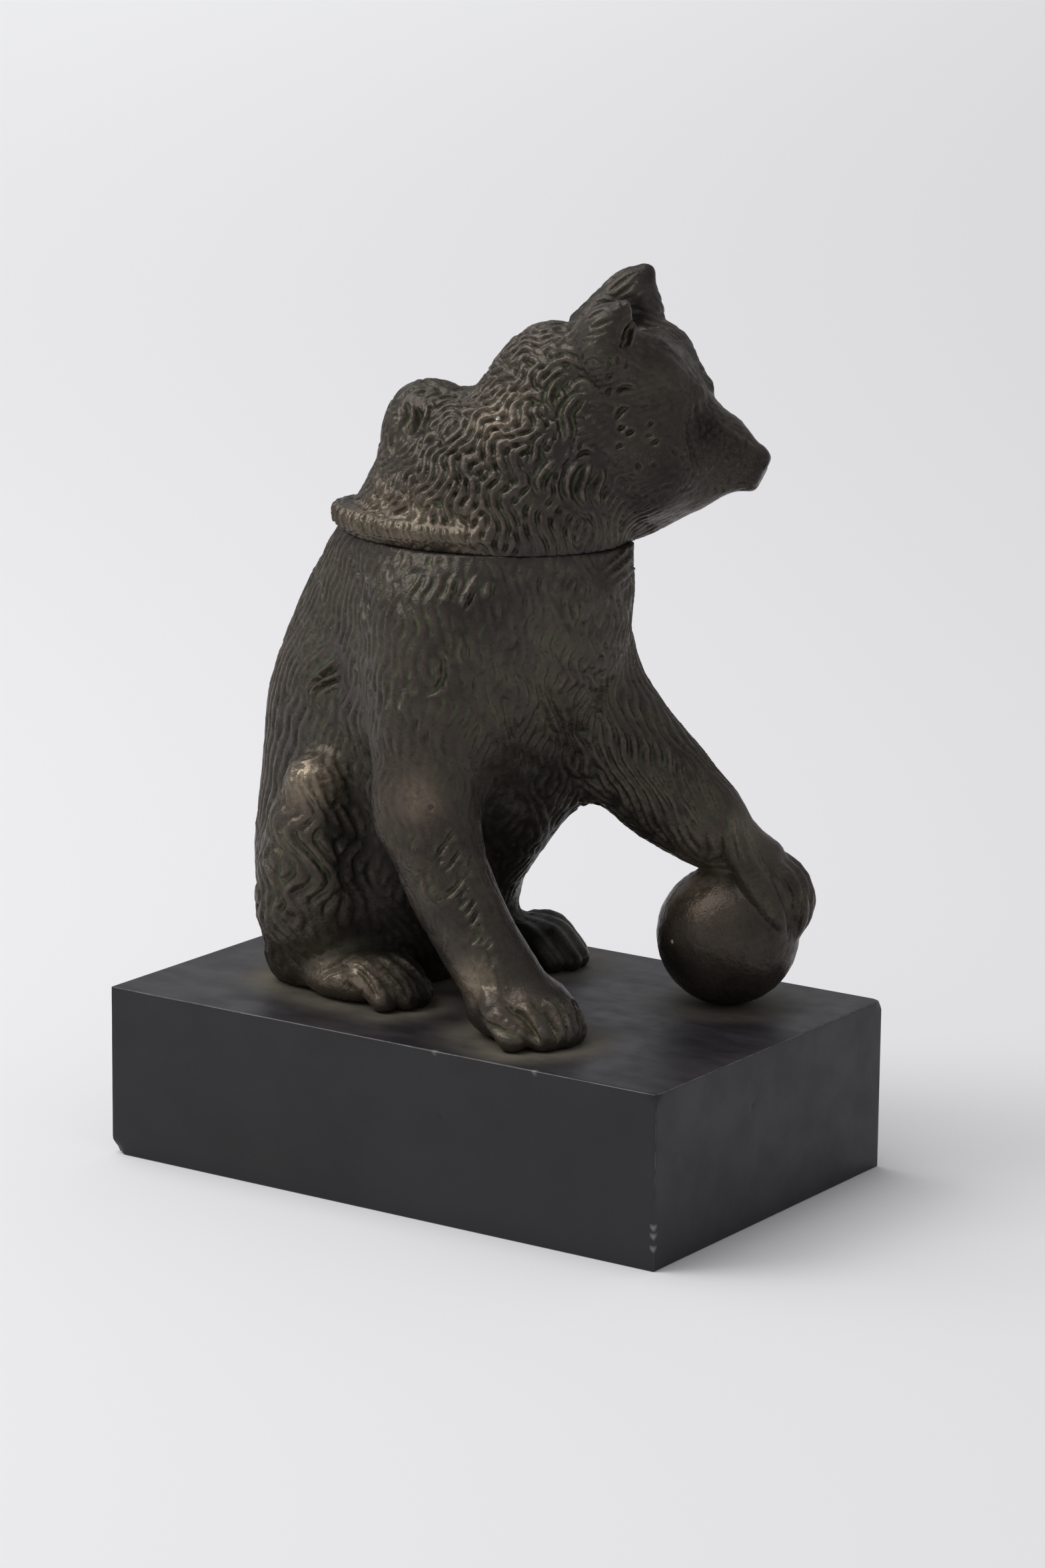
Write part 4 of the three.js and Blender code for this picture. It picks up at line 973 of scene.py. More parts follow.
LEG_STROKES = [
    # marks on the near foreleg
    (cut, 2.6, 1.0, (652, 1206), (646, 1211), (640, 1218)),
    (cut, 1.5, 0.8, (626, 1253), (619, 1262), (613, 1275)),
    (cut, 1.6, 0.9, (685, 1246), (676, 1255), (666, 1268)),
    (cut, 1.8, 0.9, (672, 1262), (663, 1272), (653, 1285)),
    (cut, 1.5, 1.0, (694, 1275), (686, 1284), (678, 1296)),
    (cut, 1.6, 0.8, (684, 1287), (675, 1297), (665, 1309)),
    (cut, 1.8, 0.9, (698, 1301), (691, 1310), (683, 1320)),
    (cut, 1.5, 0.9, (666, 1284), (660, 1291), (655, 1299)),
    (cut, 1.6, 1.0, (633, 1311), (629, 1319), (628, 1328)),
    (cut, 1.8, 0.8, (650, 1325), (647, 1332), (643, 1341)),
    (cut, 1.5, 0.9, (662, 1340), (659, 1348), (654, 1357)),
    (cut, 1.6, 0.9, (698, 1311), (688, 1324), (677, 1339)),
    (cut, 1.8, 1.0, (683, 1330), (675, 1341), (667, 1352)),
    (cut, 1.5, 0.8, (707, 1323), (700, 1332), (692, 1344)),
    (cut, 1.6, 0.9, (696, 1337), (687, 1348), (678, 1359)),
    (cut, 1.8, 0.9, (703, 1344), (694, 1355), (685, 1366)),
    (cut, 1.5, 1.0, (716, 1348), (709, 1357), (700, 1367)),
    (cut, 1.6, 0.8, (707, 1359), (700, 1367), (692, 1376)),
    (cut, 1.8, 0.9, (717, 1362), (713, 1371), (706, 1382)),
    (cut, 1.5, 0.9, (714, 1374), (708, 1383), (701, 1392)),
    (cut, 1.6, 1.0, (725, 1386), (718, 1394), (709, 1403)),
    (cut, 1.8, 0.8, (724, 1396), (718, 1405), (712, 1414)),
    (cut, 1.5, 0.9, (734, 1402), (727, 1409), (718, 1418)),
    (cut, 1.6, 0.9, (738, 1410), (733, 1417), (728, 1426)),
    (cut, 1.8, 1.0, (716, 1400), (711, 1408), (707, 1417)),
    (cut, 1.5, 0.8, (640, 1395), (638, 1402), (635, 1410)),
    (cut, 1.6, 0.9, (700, 1285), (694, 1293), (689, 1302)),
    (cut, 1.8, 0.9, (708, 1300), (703, 1308), (697, 1316)),
    (cut, 1.5, 1.0, (646, 1300), (641, 1308), (637, 1318)),
    (cut, 1.9, 0.8, (608, 1343), (610, 1356), (613, 1370)),
    (cut, 1.7, 0.6, (596, 1298), (596, 1310), (593, 1322)),
    (ridge, 2.2, 0.6, (602, 1272), (609, 1298), (630, 1314), (640, 1344), (666, 1371)),
    (ridge, 2.0, 0.5, (665, 1372), (669, 1406), (667, 1446)),
    (cut, 1.5, 0.5, (725, 1432), (716, 1452), (708, 1470)),
    (cut, 1.5, 0.5, (742, 1428), (736, 1446), (728, 1462)),
    (cut, 1.5, 0.5, (712, 1430), (704, 1450), (700, 1466)),
    (cut, 1.6, 0.6, (663, 1270), (656, 1284), (646, 1296)),
    (cut, 1.5, 0.6, (712, 1280), (708, 1292), (700, 1302)),
    # clefts between the forepaw's toes, the line under them, and the nail
    (ridge, 4.2, 0.9, (733, 1508), (754, 1528), (776, 1545), (796, 1568)),
    (ridge, 4.0, 1.0, (776, 1502), (797, 1522), (813, 1546), (824, 1572)),
    (ridge, 3.6, 0.9, (808, 1495), (827, 1511), (839, 1535), (844, 1568)),
    (ridge, 3.4, 0.9, (842, 1496), (857, 1511), (863, 1534), (862, 1562)),
    (cut, 2.2, 1.9, (752, 1503), (768, 1513), (784, 1526), (799, 1547), (812, 1572)),
    (cut, 2.2, 1.9, (793, 1497), (808, 1509), (822, 1524), (832, 1542), (837, 1570)),
    (cut, 2.0, 1.6, (825, 1496), (838, 1508), (846, 1522), (851, 1540), (852, 1566)),
    (cut, 2.0, 1.4, (856, 1499), (868, 1513), (875, 1532), (873, 1554)),
    (cut, 2.4, 0.9, (716, 1516), (728, 1534), (748, 1546), (772, 1556), (792, 1566)),
    (ridge, 1.2, 0.5, (854, 1528), (853, 1542), (854, 1556)),
    (ridge, 1.2, 0.5, (865, 1528), (866, 1542), (865, 1554)),
    (ridge, 2.2, 0.7, (722, 1420), (732, 1444), (740, 1466), (752, 1494)),
    (ridge, 1.8, 0.6, (704, 1440), (714, 1462), (726, 1484), (738, 1502)),
    # the near hind foot: clefts between its toes, the line over the first toe, the toes' backs
    (cut, 2.0, 1.3, (529, 1450), (546, 1464), (559, 1480), (567, 1504)),
    (cut, 2.0, 1.3, (537, 1440), (560, 1460), (582, 1484), (588, 1508)),
    (cut, 1.9, 1.2, (560, 1436), (586, 1456), (606, 1478), (614, 1502)),
    (cut, 1.8, 1.1, (583, 1434), (608, 1452), (627, 1469), (637, 1488)),
    (cut, 2.2, 0.9, (478, 1476), (494, 1462), (512, 1454), (532, 1456)),
    (cut, 1.8, 0.8, (430, 1462), (452, 1480), (476, 1492), (504, 1502), (540, 1508)),
    (ridge, 3.8, 0.8, (500, 1474), (524, 1472), (544, 1486), (552, 1504)),
    (ridge, 3.2, 0.7, (540, 1452), (562, 1472), (575, 1490), (578, 1508)),
    (ridge, 3.2, 0.7, (556, 1442), (580, 1464), (596, 1482), (601, 1504)),
    (ridge, 3.0, 0.7, (582, 1440), (604, 1458), (618, 1474), (626, 1494)),
    # the ball paw: tendon, clefts between the digits, nails
    (ridge, 3.4, 1.0, (1093, 1200), (1101, 1226), (1104, 1252), (1113, 1284), (1128, 1306)),
    (cut, 2.4, 1.0, (1060, 1296), (1075, 1292), (1092, 1299), (1106, 1312)),
    (cut, 2.2, 0.8, (1118, 1232), (1122, 1256), (1136, 1284), (1150, 1300)),
    (cut, 2.6, 0.55, (1057, 1243), (1058, 1262), (1059, 1280), (1061, 1294)),
    (cut, 2.6, 0.5, (1080, 1246), (1079, 1262), (1081, 1278), (1083, 1292)),
    (cut, 1.8, 0.9, (1120, 1262), (1133, 1284), (1150, 1308), (1166, 1334), (1180, 1368)),
    (cut, 1.5, 0.8, (1178, 1290), (1194, 1308), (1205, 1332), (1207, 1356), (1198, 1386), (1193, 1412)),
    (cut, 1.4, 0.7, (1200, 1300), (1213, 1322), (1216, 1344), (1214, 1366)),
    (cut, 1.4, 0.7, (1160, 1300), (1176, 1322), (1186, 1346), (1188, 1370)),
    (ridge, 1.2, 0.6, (1172, 1392), (1172, 1406), (1170, 1420)),
    (ridge, 1.2, 0.6, (1190, 1386), (1188, 1402), (1184, 1418)),
    # the knee
    (cut, 1.6, 0.8, (474, 1164), (484, 1168), (496, 1166)),
    (cut, 1.5, 0.7, (478, 1178), (488, 1180), (500, 1176)),
    (cut, 1.8, 0.9, (516, 1196), (506, 1204), (498, 1214)),
    (cut, 1.8, 0.9, (436, 1160), (446, 1152), (458, 1148)),
    (ridge, 1.8, 0.7, (430, 1170), (440, 1146), (462, 1124), (486, 1116)),
]
# rows of short folds across the toes: where a row starts and ends, how many, half their length in pixels
FOLDS = [
    ((733, 1513), (778, 1546), 8, 8), ((776, 1504), (810, 1544), 8, 7), ((808, 1499), (838, 1534), 7, 6),
    ((842, 1500), (858, 1520), 4, 5), ((864, 1506), (882, 1536), 6, 4),
    ((1128, 1300), (1162, 1376), 12, 12), ((1176, 1304), (1200, 1364), 10, 6),
    ((1196, 1302), (1212, 1350), 8, 4),
    ((508, 1470), (548, 1490), 5, 7), ((548, 1458), (574, 1486), 5, 6), ((572, 1452), (596, 1480), 5, 5),
    ((430, 1176), (446, 1214), 4, 5),
]


# Marks of age, and spots of painted highlight and painted shade
# white chips in the bear's finish: place, size
FLECKS = [((-35, -43, 111), 1.6), ((-36, -44, 104.5), 1.0), ((-40, -43, 108), 0.7), ((8, -13, 211), 0.8),
          ((50, 12, 68), 0.7)]
# rust-coloured specks, rubbed places that also carry painted highlight, and spots of painted shade: place,
# radius, strength
RUST = [((-10, -47, 112), 12, 0.9), ((2, -46, 92), 12, 0.9), ((-14, -44, 126), 9, 0.6),
        ((60, 14, 78), 11, 1.0)]
WEAR_AND_HIGHLIGHT_BODY = [((-37, -38, 111), 8, 1.0), ((53, 16, 82), 12, 0.45), ((-34, -36, 56), 9, 0.5),
             ((5, -44, 112), 6, 0.6), ((-22, -38, 56), 9, 0.8), ((22, -42, 64), 6, 0.9),
             ((34, -40, 55), 7, 0.6), ((47, 22, 80), 9, 0.8), ((60, 32, 95), 7, 0.4),
             ((-38, -30, 52), 6, 0.6)]
WEAR_AND_HIGHLIGHT_LID = [((-10, -30, 182), 10, 0.6), ((-26, -24, 182), 10, 0.6), ((6, -27, 182), 7, 0.5),
            ((8, -14, 212), 8, 0.5), ((20, 4, 240), 6, 0.6)]
# painted shade: spots darkened below the brow, on the belly and under the arm
PAINTED_SHADE_SPOTS = [((52, 22, 208), 6, 0.9), ((58, 25, 202), 8, 0.55), ((66, 27, 195), 10, 0.5),
        ((47, 8, 199), 13, 0.55), ((10, -6, 92), 20, 1.0), ((19, -5, 111), 14, 1.0),
        ((-16, -20, 70), 12, 0.8)]
# knocks on the plinth: place, radius, depth
KNOCKS = [((-90, -57.5, 0), 4.4, 2.0), ((90, -57.5, 48), 2.8, 0.8), ((90, -57.5, 6), 1.0, 0.35),
          ((90, -57.5, 9.5), 0.9, 0.25), ((90, -57.5, 12), 1.0, 0.3), ((-90, 57.5, 48), 2.6, 0.8),
          ((90, 57.5, 48), 2.6, 0.8), ((20, -57.5, 48), 0.8, 0.15), ((52, -57.5, 48), 0.7, 0.15)]
PINHOLES = [((-63, -57.5, 30), 0.8), ((-20, -57.5, 24), 0.8), ((22, -57.5, 30), 0.9), ((-32, -57.5, 14), 0.7),
            ((90, -30, 30), 0.8), ((90, -10, 34), 0.8), ((90, -3, 24), 0.7)]


def linked(name, data):
    """A new object with that data, in the scene."""
    thing = bpy.data.objects.new(name, data)
    bpy.context.scene.collection.objects.link(thing)
    return thing


def marked(name, points, faces, marks):
    """A mesh of points in millimetres, with its marks as vertex attributes."""
    mesh = bpy.data.meshes.new(name)
    mesh.from_pydata(points * MM, [], faces)
    for label, values in marks.items():
        mesh.attributes.new(label, "FLOAT", "POINT").data.foreach_set("value", values.astype(np.float32))
    return mesh


def made(name, skin, points, floor, ceiling, marks):
    """A closed piece from a skin: cut flat at floor and ceiling, thinned to the triangle budget."""
    mesh = marked(name, points, triangles(points, skin.quads), marks)
    bm = bmesh.new()
    bm.from_mesh(mesh)
    for z, up in ((floor, -1), (ceiling, 1)):
        if z is None:
            continue
        every = bm.verts[:] + bm.edges[:] + bm.faces[:]
        bmesh.ops.bisect_plane(bm, geom=every, dist=1e-7, plane_co=(0, 0, z * MM),
                               plane_no=(0, 0, up), clear_outer=True)
        rim_edges = [e for e in bm.edges if e.is_boundary]
        bmesh.ops.triangle_fill(bm, edges=rim_edges, use_beauty=True, use_dissolve=False,
                                normal=(0, 0, up))
    bmesh.ops.triangulate(bm, faces=[f for f in bm.faces if len(f.verts) > 3])
    bmesh.ops.recalc_face_normals(bm, faces=bm.faces[:])
    bm.to_mesh(mesh)
    bm.free()
    piece = linked(name, mesh)
    if len(mesh.polygons) > BUDGET:
        thin = piece.modifiers.new("thin", "DECIMATE")
        thin.ratio = BUDGET / len(mesh.polygons)
        thin.use_collapse_triangulate = True
        graph = bpy.context.evaluated_depsgraph_get()
        lean = bpy.data.meshes.new_from_object(piece.evaluated_get(graph))
        piece.modifiers.clear()
        piece.data = lean
        bpy.data.meshes.remove(mesh)
        mesh = lean
        mesh.name = name
    places = np.empty(len(mesh.vertices) * 3)
    mesh.vertices.foreach_get("co", places)
    height = places[2::3] * 1000
    corner = np.empty(len(mesh.loops), int)
    mesh.loops.foreach_get("vertex_index", corner)
    flat = np.zeros(len(mesh.polygons), bool)
    for level in (floor, ceiling):
        if level is not None:
            flat |= (np.abs(height[corner] - level) < 1e-3).reshape(-1, 3).all(1)
    mesh.polygons.foreach_set("use_smooth", ~flat)
    mesh.update()
    return piece


# Finishes
class Finish:
    """A material under construction, with a method for each kind of step."""

    def __init__(self, name):
        """A principled shader on its output, with the Object coordinates at hand as place."""
        self.material = bpy.data.materials.new(name)
        self.material.use_nodes = True
        self.tree = self.material.node_tree
        self.tree.nodes.clear()
        self.output = self.node("ShaderNodeOutputMaterial")
        self.shader = self.node("ShaderNodeBsdfPrincipled")
        self.tree.links.new(self.shader.outputs[0], self.output.inputs[0])
        self.place = self.node("ShaderNodeTexCoord").outputs["Object"]

    def node(self, kind, settings=None, **inputs):
        """A new node, its settings, and its inputs by name or, as i0, i1 and so on, by number."""
        made = self.tree.nodes.new(kind)
        made.location = (220 * (len(self.tree.nodes) % 8), -180 * (len(self.tree.nodes) // 8))
        for key, value in (settings or {}).items():
            setattr(made, key, value)
        for key, value in inputs.items():
            where = int(key[1:]) if key[0] == "i" and key[1:].isdigit() else key
            self.feed(made.inputs[where], value)
        return made

    def feed(self, socket, value):
        """Links an input to another node's output, or sets it to a number or colour."""
        if isinstance(value, bpy.types.NodeSocket):
            self.tree.links.new(value, socket)
        else:
            socket.default_value = value

    def give(self, name, value):
        """Feeds one of the shader's own inputs."""
        self.feed(self.shader.inputs[name], value)

    def mark(self, name):
        """The piece's own vertex mark of that name."""
        return self.node("ShaderNodeAttribute", {"attribute_name": name}).outputs["Fac"]

    def noise(self, scale, detail=4.0, rough=0.55, stretch=None):
        """Cloudy noise, scale in lumps to the metre; stretch squeezes it along an axis."""
        place = self.place
        if stretch:
            place = self.node("ShaderNodeMapping", i0=place, i3=stretch).outputs[0]
        return self.node("ShaderNodeTexNoise", i0=place, Scale=scale, Detail=detail,
                         Roughness=rough).outputs[0]

    def map(self, value, low, high, to_low=0.0, to_high=1.0):
        """value run from low..high to to_low..to_high on a smooth step."""
        return self.node("ShaderNodeMapRange", {"interpolation_type": "SMOOTHSTEP"}, i0=value, i1=low,
                         i2=high, i3=to_low, i4=to_high).outputs[0]

    def math(self, operation, a, b):
        """The result of an operation on two values."""
        return self.node("ShaderNodeMath", {"operation": operation}, i0=a, i1=b).outputs[0]

    def times(self, a, b):
        """The product of two values."""
        return self.math("MULTIPLY", a, b)

    def mix(self, factor, a, b):
        """Colour a towards colour b by factor."""
        return self.node("ShaderNodeMix", {"data_type": "RGBA"}, i0=factor, i6=a, i7=b).outputs[2]

    def spot(self, centre, radius, soft):
        """1 within radius of a place in millimetres, gone soft millimetres further out."""
        away = self.node("ShaderNodeVectorMath", {"operation": "DISTANCE"}, i0=self.place,
                         i1=tuple(v * MM for v in centre)).outputs[1]
        return self.map(away, radius * MM, (radius + soft) * MM, 1.0, 0.0)

    def bump(self, height, distance, strength, under=None):
        """Normals roughened by a height, over those of another bump."""
        made = self.node("ShaderNodeBump", Strength=strength, Distance=distance, Height=height)
        if under:
            self.feed(made.inputs["Normal"], under)
        return made.outputs[0]


def rgb(r, g, b):
    """A colour from its display values, 0 to 255, as the linear values that a socket takes."""
    def linear(v):
        v /= 255.0
        return v / 12.92 if v < 0.04045 else ((v + 0.055) / 1.055) ** 2.4
    return (linear(r), linear(g), linear(b), 1.0)


def bronze():
    """Dark brown patina: pale olive dust in the hollows, bare grey-brown metal on the high places,
    pale rubbed wear with painted highlight on the knee, paws, ball and roll, a haze of rust-coloured
    specks, white where the finish is chipped, and painted shade, near black and less reflective,
    in the deep hollows, below the brow, on the belly and under the arm."""
    f = Finish("patinated_bronze")
    cloud = f.noise(38, 5, 0.6)
    grain = f.noise(520, 3, 0.65)
    fine = f.noise(3200, 2, 0.5)
    crease, proud, deep, wear_and_highlight = (f.mark(n) for n in ("crease", "proud", "deep", "wear_and_highlight"))
    colour = f.mix(f.map(cloud, 0.3, 0.75), rgb(46, 41, 37), rgb(71, 63, 56))
    colour = f.mix(f.times(f.map(f.noise(14, 3), 0.45, 0.7), 0.5), colour, rgb(58, 55, 56))
    colour = f.mix(f.times(f.map(grain, 0.45, 0.7), 0.6), colour, rgb(32, 30, 29))
    dust = f.times(f.math("MAXIMUM", crease, f.times(deep, 0.7)), f.map(f.noise(85, 4, 0.6), 0.34, 0.62))
    dust = f.times(dust, f.map(grain, 0.25, 0.55, 0.45, 1.0))
    colour = f.mix(f.times(dust, 0.8), colour, rgb(98, 103, 79))
    # painted shade: near black where the skin is shut in and in the listed spots of painted shade
    colour = f.mix(f.times(f.mark("shade"), 0.85), colour, rgb(20, 20, 19))
    colour = f.mix(f.times(proud, f.map(grain, 0.3, 0.65, 0.1, 0.6)), colour, rgb(112, 101, 90))
    # rubbed wear and painted highlight: pale where the knee, paws, ball and roll are rubbed and catch the
    # light
    colour = f.mix(f.times(wear_and_highlight, f.map(grain, 0.25, 0.7, 0.35, 0.8)), colour, rgb(146, 131, 112))
    haze = f.math("MAXIMUM", f.map(f.noise(42, 3), 0.56, 0.72), f.mark("rust"))
    speck = f.times(f.map(fine, 0.6, 0.68), f.times(haze, 0.6))
    colour = f.mix(speck, colour, rgb(122, 92, 64))
    for centre, size in FLECKS:
        chip = f.times(f.spot(centre, size * 0.5, size * 0.5), f.map(fine, 0.38, 0.5))
        colour = f.mix(chip, colour, rgb(222, 220, 214))
    f.give("Base Color", colour)
    # painted shade also takes reflection away: less metallic and less specular where shade is marked
    f.give("Metallic", f.map(f.mark("shade"), 0, 1, 0.5, 0.1))
    f.give("Specular IOR Level", f.map(f.mark("shade"), 0, 1, 0.4, 0.1))
    f.give("Specular Tint", rgb(218, 216, 211))
    rough = f.map(grain, 0.3, 0.75, 0.25, 0.43)
    rough = f.math("ADD", rough, f.times(dust, 0.3))
    rough = f.math("SUBTRACT", rough, f.times(wear_and_highlight, 0.18))
    f.give("Roughness", rough)
    bumps = f.bump(f.noise(3400, 2, 0.6), 0.00012, 0.5)
    bumps = f.bump(f.noise(1000, 3, 0.6), 0.0003, 0.5, bumps)
    bumps = f.bump(f.noise(230, 3, 0.5), 0.0009, 0.5, bumps)
    f.give("Normal", bumps)
    return f.material


def slate():
    """The plinth: satin charcoal, rubbed pale along its arrises, with a painted sheen of paler grey over
    the top, strongest round one place, dust round the soles, and painted shade in the pinholes."""
    f = Finish("charcoal_plinth")
    cloud = f.noise(22, 4, 0.55)
    drift = f.noise(9, 3, 0.5, (1.0, 1.0, 2.5))
    colour = f.mix(f.map(cloud, 0.3, 0.7), rgb(17, 14, 17), rgb(23, 20, 23))
    colour = f.mix(f.times(f.map(drift, 0.5, 0.7), 0.4), colour, rgb(33, 31, 33))
    painted_sheen = f.times(f.mark("painted_sheen"), f.map(f.noise(60, 5, 0.65, (1.0, 2.5, 1.0)), 0.35, 0.65, 0.2, 0.8))
    # painted sheen: the top face painted a paler grey, most of all round one place
    colour = f.mix(painted_sheen, colour, rgb(92, 87, 90))
    dust = f.times(f.mark("dust"), f.map(f.noise(120, 5, 0.6), 0.25, 0.6, 0.6, 1.0))
    colour = f.mix(f.times(dust, 0.7), colour, rgb(106, 99, 84))
    rub = f.times(f.mark("rubbed"), f.map(f.noise(300, 3, 0.6), 0.35, 0.6))
    colour = f.mix(f.times(rub, 0.6), colour, rgb(112, 108, 106))
    colour = f.mix(f.times(f.mark("chip"), 0.7), colour, rgb(150, 146, 140))
    # painted shade: the pinholes darkened inside
    colour = f.mix(f.mark("pinhole_shade"), colour, rgb(12, 12, 13))
    f.give("Base Color", colour)
    rough = f.map(f.noise(75, 4, 0.6), 0.3, 0.7, 0.38, 0.5)
    f.give("Specular IOR Level", 0.42)
    f.give("Roughness", f.math("ADD", rough, f.times(dust, 0.3)))
    bumps = f.bump(f.noise(700, 3, 0.6), 0.0001, 0.25)
    f.give("Normal", f.bump(f.noise(60, 3, 0.5), 0.0005, 0.15, bumps))
    return f.material


def paper():
    """The studio's pale sweep, with painted shade: darker towards the right."""
    f = Finish("pale_floor")
    across = f.node("ShaderNodeVectorMath", {"operation": "DOT_PRODUCT"}, i0=f.place, i1=(0.9, 0.364, 0))
    # painted shade: the floor runs from near white to grey across it, darker towards the right
    pale = f.mix(f.map(across.outputs[1], -1.56, 1.04), rgb(249, 248, 248), rgb(208, 206, 208))
    f.give("Base Color", f.mix(f.times(f.noise(1.3, 2), 0.1), pale, rgb(228, 228, 231)))
    f.give("Roughness", 0.85)
    f.give("Specular IOR Level", 0.2)
    return f.material


# Plinth
LENGTH, WIDTH, TALL = 180.0, 115.0, 48.0
ARRIS = 0.4            # radius of its edges
DUST_REACH = 7.0       # how far dust lies out from the soles
# where the painted sheen on the plinth's top is strongest, and how far it reaches
SHEEN_AT, SHEEN_REACH = (26, 14), 26


def block_net(step, edge):
    """The plinth as six grids folded round a box: with q a point of the box and c the same point
    held edge inside every face, the surface is c + edge * (q - c) / |q - c|."""
    half = np.array([LENGTH, WIDTH, TALL]) / 2
    points, faces, base = [], [], 0
    for axis in range(3):
        u, v = (axis + 1) % 3, (axis + 2) % 3
        lines = []
        for k in (u, v):
            fine = np.linspace(0, edge, 5)
            wide = half[k] - edge
            n = max(2, int(round(2 * wide / step)))
            lines.append(np.r_[-half[k] + fine[:-1], np.linspace(-wide, wide, n + 1), wide + fine[1:]])
        for sign in (-1, 1):
            a, b = np.meshgrid(*lines, indexing="ij")
            q = np.zeros((a.size, 3))
            q[:, u], q[:, v], q[:, axis] = a.ravel(), b.ravel(), sign * half[axis]
            core = np.clip(q, -half + edge, half - edge)
            out = q - core
            q = core + edge * out / np.linalg.norm(out, axis=1)[:, None]
            n, m = a.shape
            i = np.arange(n - 1)[:, None] * m + np.arange(m - 1)
            quad = np.stack([i, i + m, i + m + 1, i + 1], -1).reshape(-1, 4) + base
            faces.append(quad if sign > 0 else quad[:, ::-1])
            points.append(q)
            base += len(q)
    points = np.concatenate(points)
    points[:, 2] += TALL / 2
    return points, np.concatenate(faces)


def knocked(points, place, radius, depth):
    """Points near a place drawn towards the block's middle: depth * (1 - (d / radius)^2)^2."""
    d2 = ((points - np.array(place)) ** 2).sum(1) / radius**2
    pull = depth * np.clip(1 - d2, 0, 1) ** 2
    inward = np.array([0, 0, TALL / 2]) - points
    inward /= np.linalg.norm(inward, axis=1)[:, None]
    return points + pull[:, None] * inward, np.clip(1 - d2, 0, 1)


def plinth():
    """The block with knocked corners, chipped and rubbed arrises, pinholes, and dust by the soles."""
    points, faces = block_net(1.15, ARRIS)
    inner = np.array([LENGTH, WIDTH, TALL]) / 2 - ARRIS
    away = np.abs(points - (0, 0, TALL / 2)) - inner
    corner = np.sort(away, axis=1)[:, 1]
    rubbed = ramp(0.15, 0.28, corner) * np.where(points[:, 2] > TALL / 2, 1.0, 0.35)
    wave = np.sin(points @ (0.21, 0.17, 0.3)) + np.sin(points @ (0.07, -0.13, 0.45) + 2)
    points -= (0.04 * rubbed * np.clip(wave, 0, 2))[:, None] * np.sign(points - (0, 0, TALL / 2))
    chips, hole_shade = np.zeros(len(points)), np.zeros(len(points))
    for place, radius, depth in KNOCKS:
        points, near = knocked(points, place, radius, depth)
        small = radius < 2.2
        chips = np.maximum(chips, near if small else 0)
    # pinholes: each dented, and marked for painted shade inside
    for place, radius in PINHOLES:
        points, near = knocked(points, place, radius, radius * 0.5)
        hole_shade = np.maximum(hole_shade, near)
    floor = np.c_[points[:, :2], np.full(len(points), FEET_Z + 0.8)]
    gap = sculpt(BODY, floor)
    top = points[:, 2] > TALL - 0.3
    dust = np.exp(-(np.clip(gap, 0, 40) / DUST_REACH) ** 2) * top
    # painted sheen: a little over the whole top, most within some 26 mm of one place
    painted_sheen = (0.2 + 0.8 * np.exp(-((points[:, :2] - SHEEN_AT) ** 2).sum(1) / SHEEN_REACH**2)) * top
    marks = {"rubbed": rubbed, "chip": chips, "pinhole_shade": hole_shade, "dust": dust, "painted_sheen": painted_sheen}
    mesh = marked("plinth_block", points, faces, marks)
    bm = bmesh.new()
    bm.from_mesh(mesh)
    bmesh.ops.remove_doubles(bm, verts=bm.verts, dist=2e-6)
    bmesh.ops.recalc_face_normals(bm, faces=bm.faces[:])
    bm.to_mesh(mesh)
    bm.free()
    mesh.polygons.foreach_set("use_smooth", np.ones(len(mesh.polygons), bool))
    return linked("plinth_block", mesh)


# Camera, floor and light
def photo_camera():
    """A long lens at the photograph's place."""
    data = bpy.data.cameras.new("photo_camera")
    data.sensor_fit = "VERTICAL"
    data.sensor_height = 36.0
    data.lens = 118.44
    data.clip_end = 60
    camera = linked("photo_camera", data)
    matrix = np.eye(4)
    matrix[:3, :3] = sights().T
    matrix[:3, 3] = EYE * MM
    camera.matrix_world = Matrix(matrix.tolist())
    bpy.context.scene.camera = camera


def lamp(name, place, aim, size, power):
    """A square soft light at a place, facing another."""
    data = bpy.data.lights.new(name, "AREA")
    data.shape, data.size, data.energy = "SQUARE", size, power
    light = linked(name, data)
    light.location = place
    light.rotation_euler = (Vector(aim) - Vector(place)).to_track_quat("-Z", "Y").to_euler()


def studio():
    """A wide pale floor, a soft light high on the left, a wide one from above, and an even pale room."""
    bm = bmesh.new()
    bmesh.ops.create_grid(bm, x_segments=8, y_segments=8, size=14)
    mesh = bpy.data.meshes.new("studio_floor")
    bm.to_mesh(mesh)
    bm.free()
    floor = linked("studio_floor", mesh)
    mesh.materials.append(paper())
    world = bpy.data.worlds.new("studio_room")
    world.use_nodes = True
    background = world.node_tree.nodes["Background"]
    background.inputs[0].default_value = (0.94, 0.96, 1.0, 1)
    background.inputs[1].default_value = 0.475
    bpy.context.scene.world = world
    lamp("key_light", (-0.85, -0.75, 1.15), (0, 0, 0.12), 0.7, 6.8)
    data = bpy.data.lights.new("high_light", "SUN")
    data.energy, data.angle = 1.6, math.radians(50)
    high = linked("high_light", data)
    high.rotation_euler = Vector((0.4, 0.16, -1.0)).to_track_quat("-Z", "Y").to_euler()
    bpy.context.scene.view_settings.view_transform = "Standard"


# The object
NOOKS = (4, 9, 16)       # how far out a point looks for what shuts it in, millimetres
HOLLOWS = (16, 28, 40)
# low corner, high corner and cell of each net's grid, millimetres
BODY_GRID = (-86, -54, 43), (86, 58, 181), 0.66
LID_GRID = (-58, -38, 172), (72, 58, 254), 0.52
# how each coat is laid: spacing of its roots, seed, times joined, how broken
BODY_LIE = (3.0, 3, 30, 0.0)
LID_LIE = (2.6, 5, 5, 1.4)


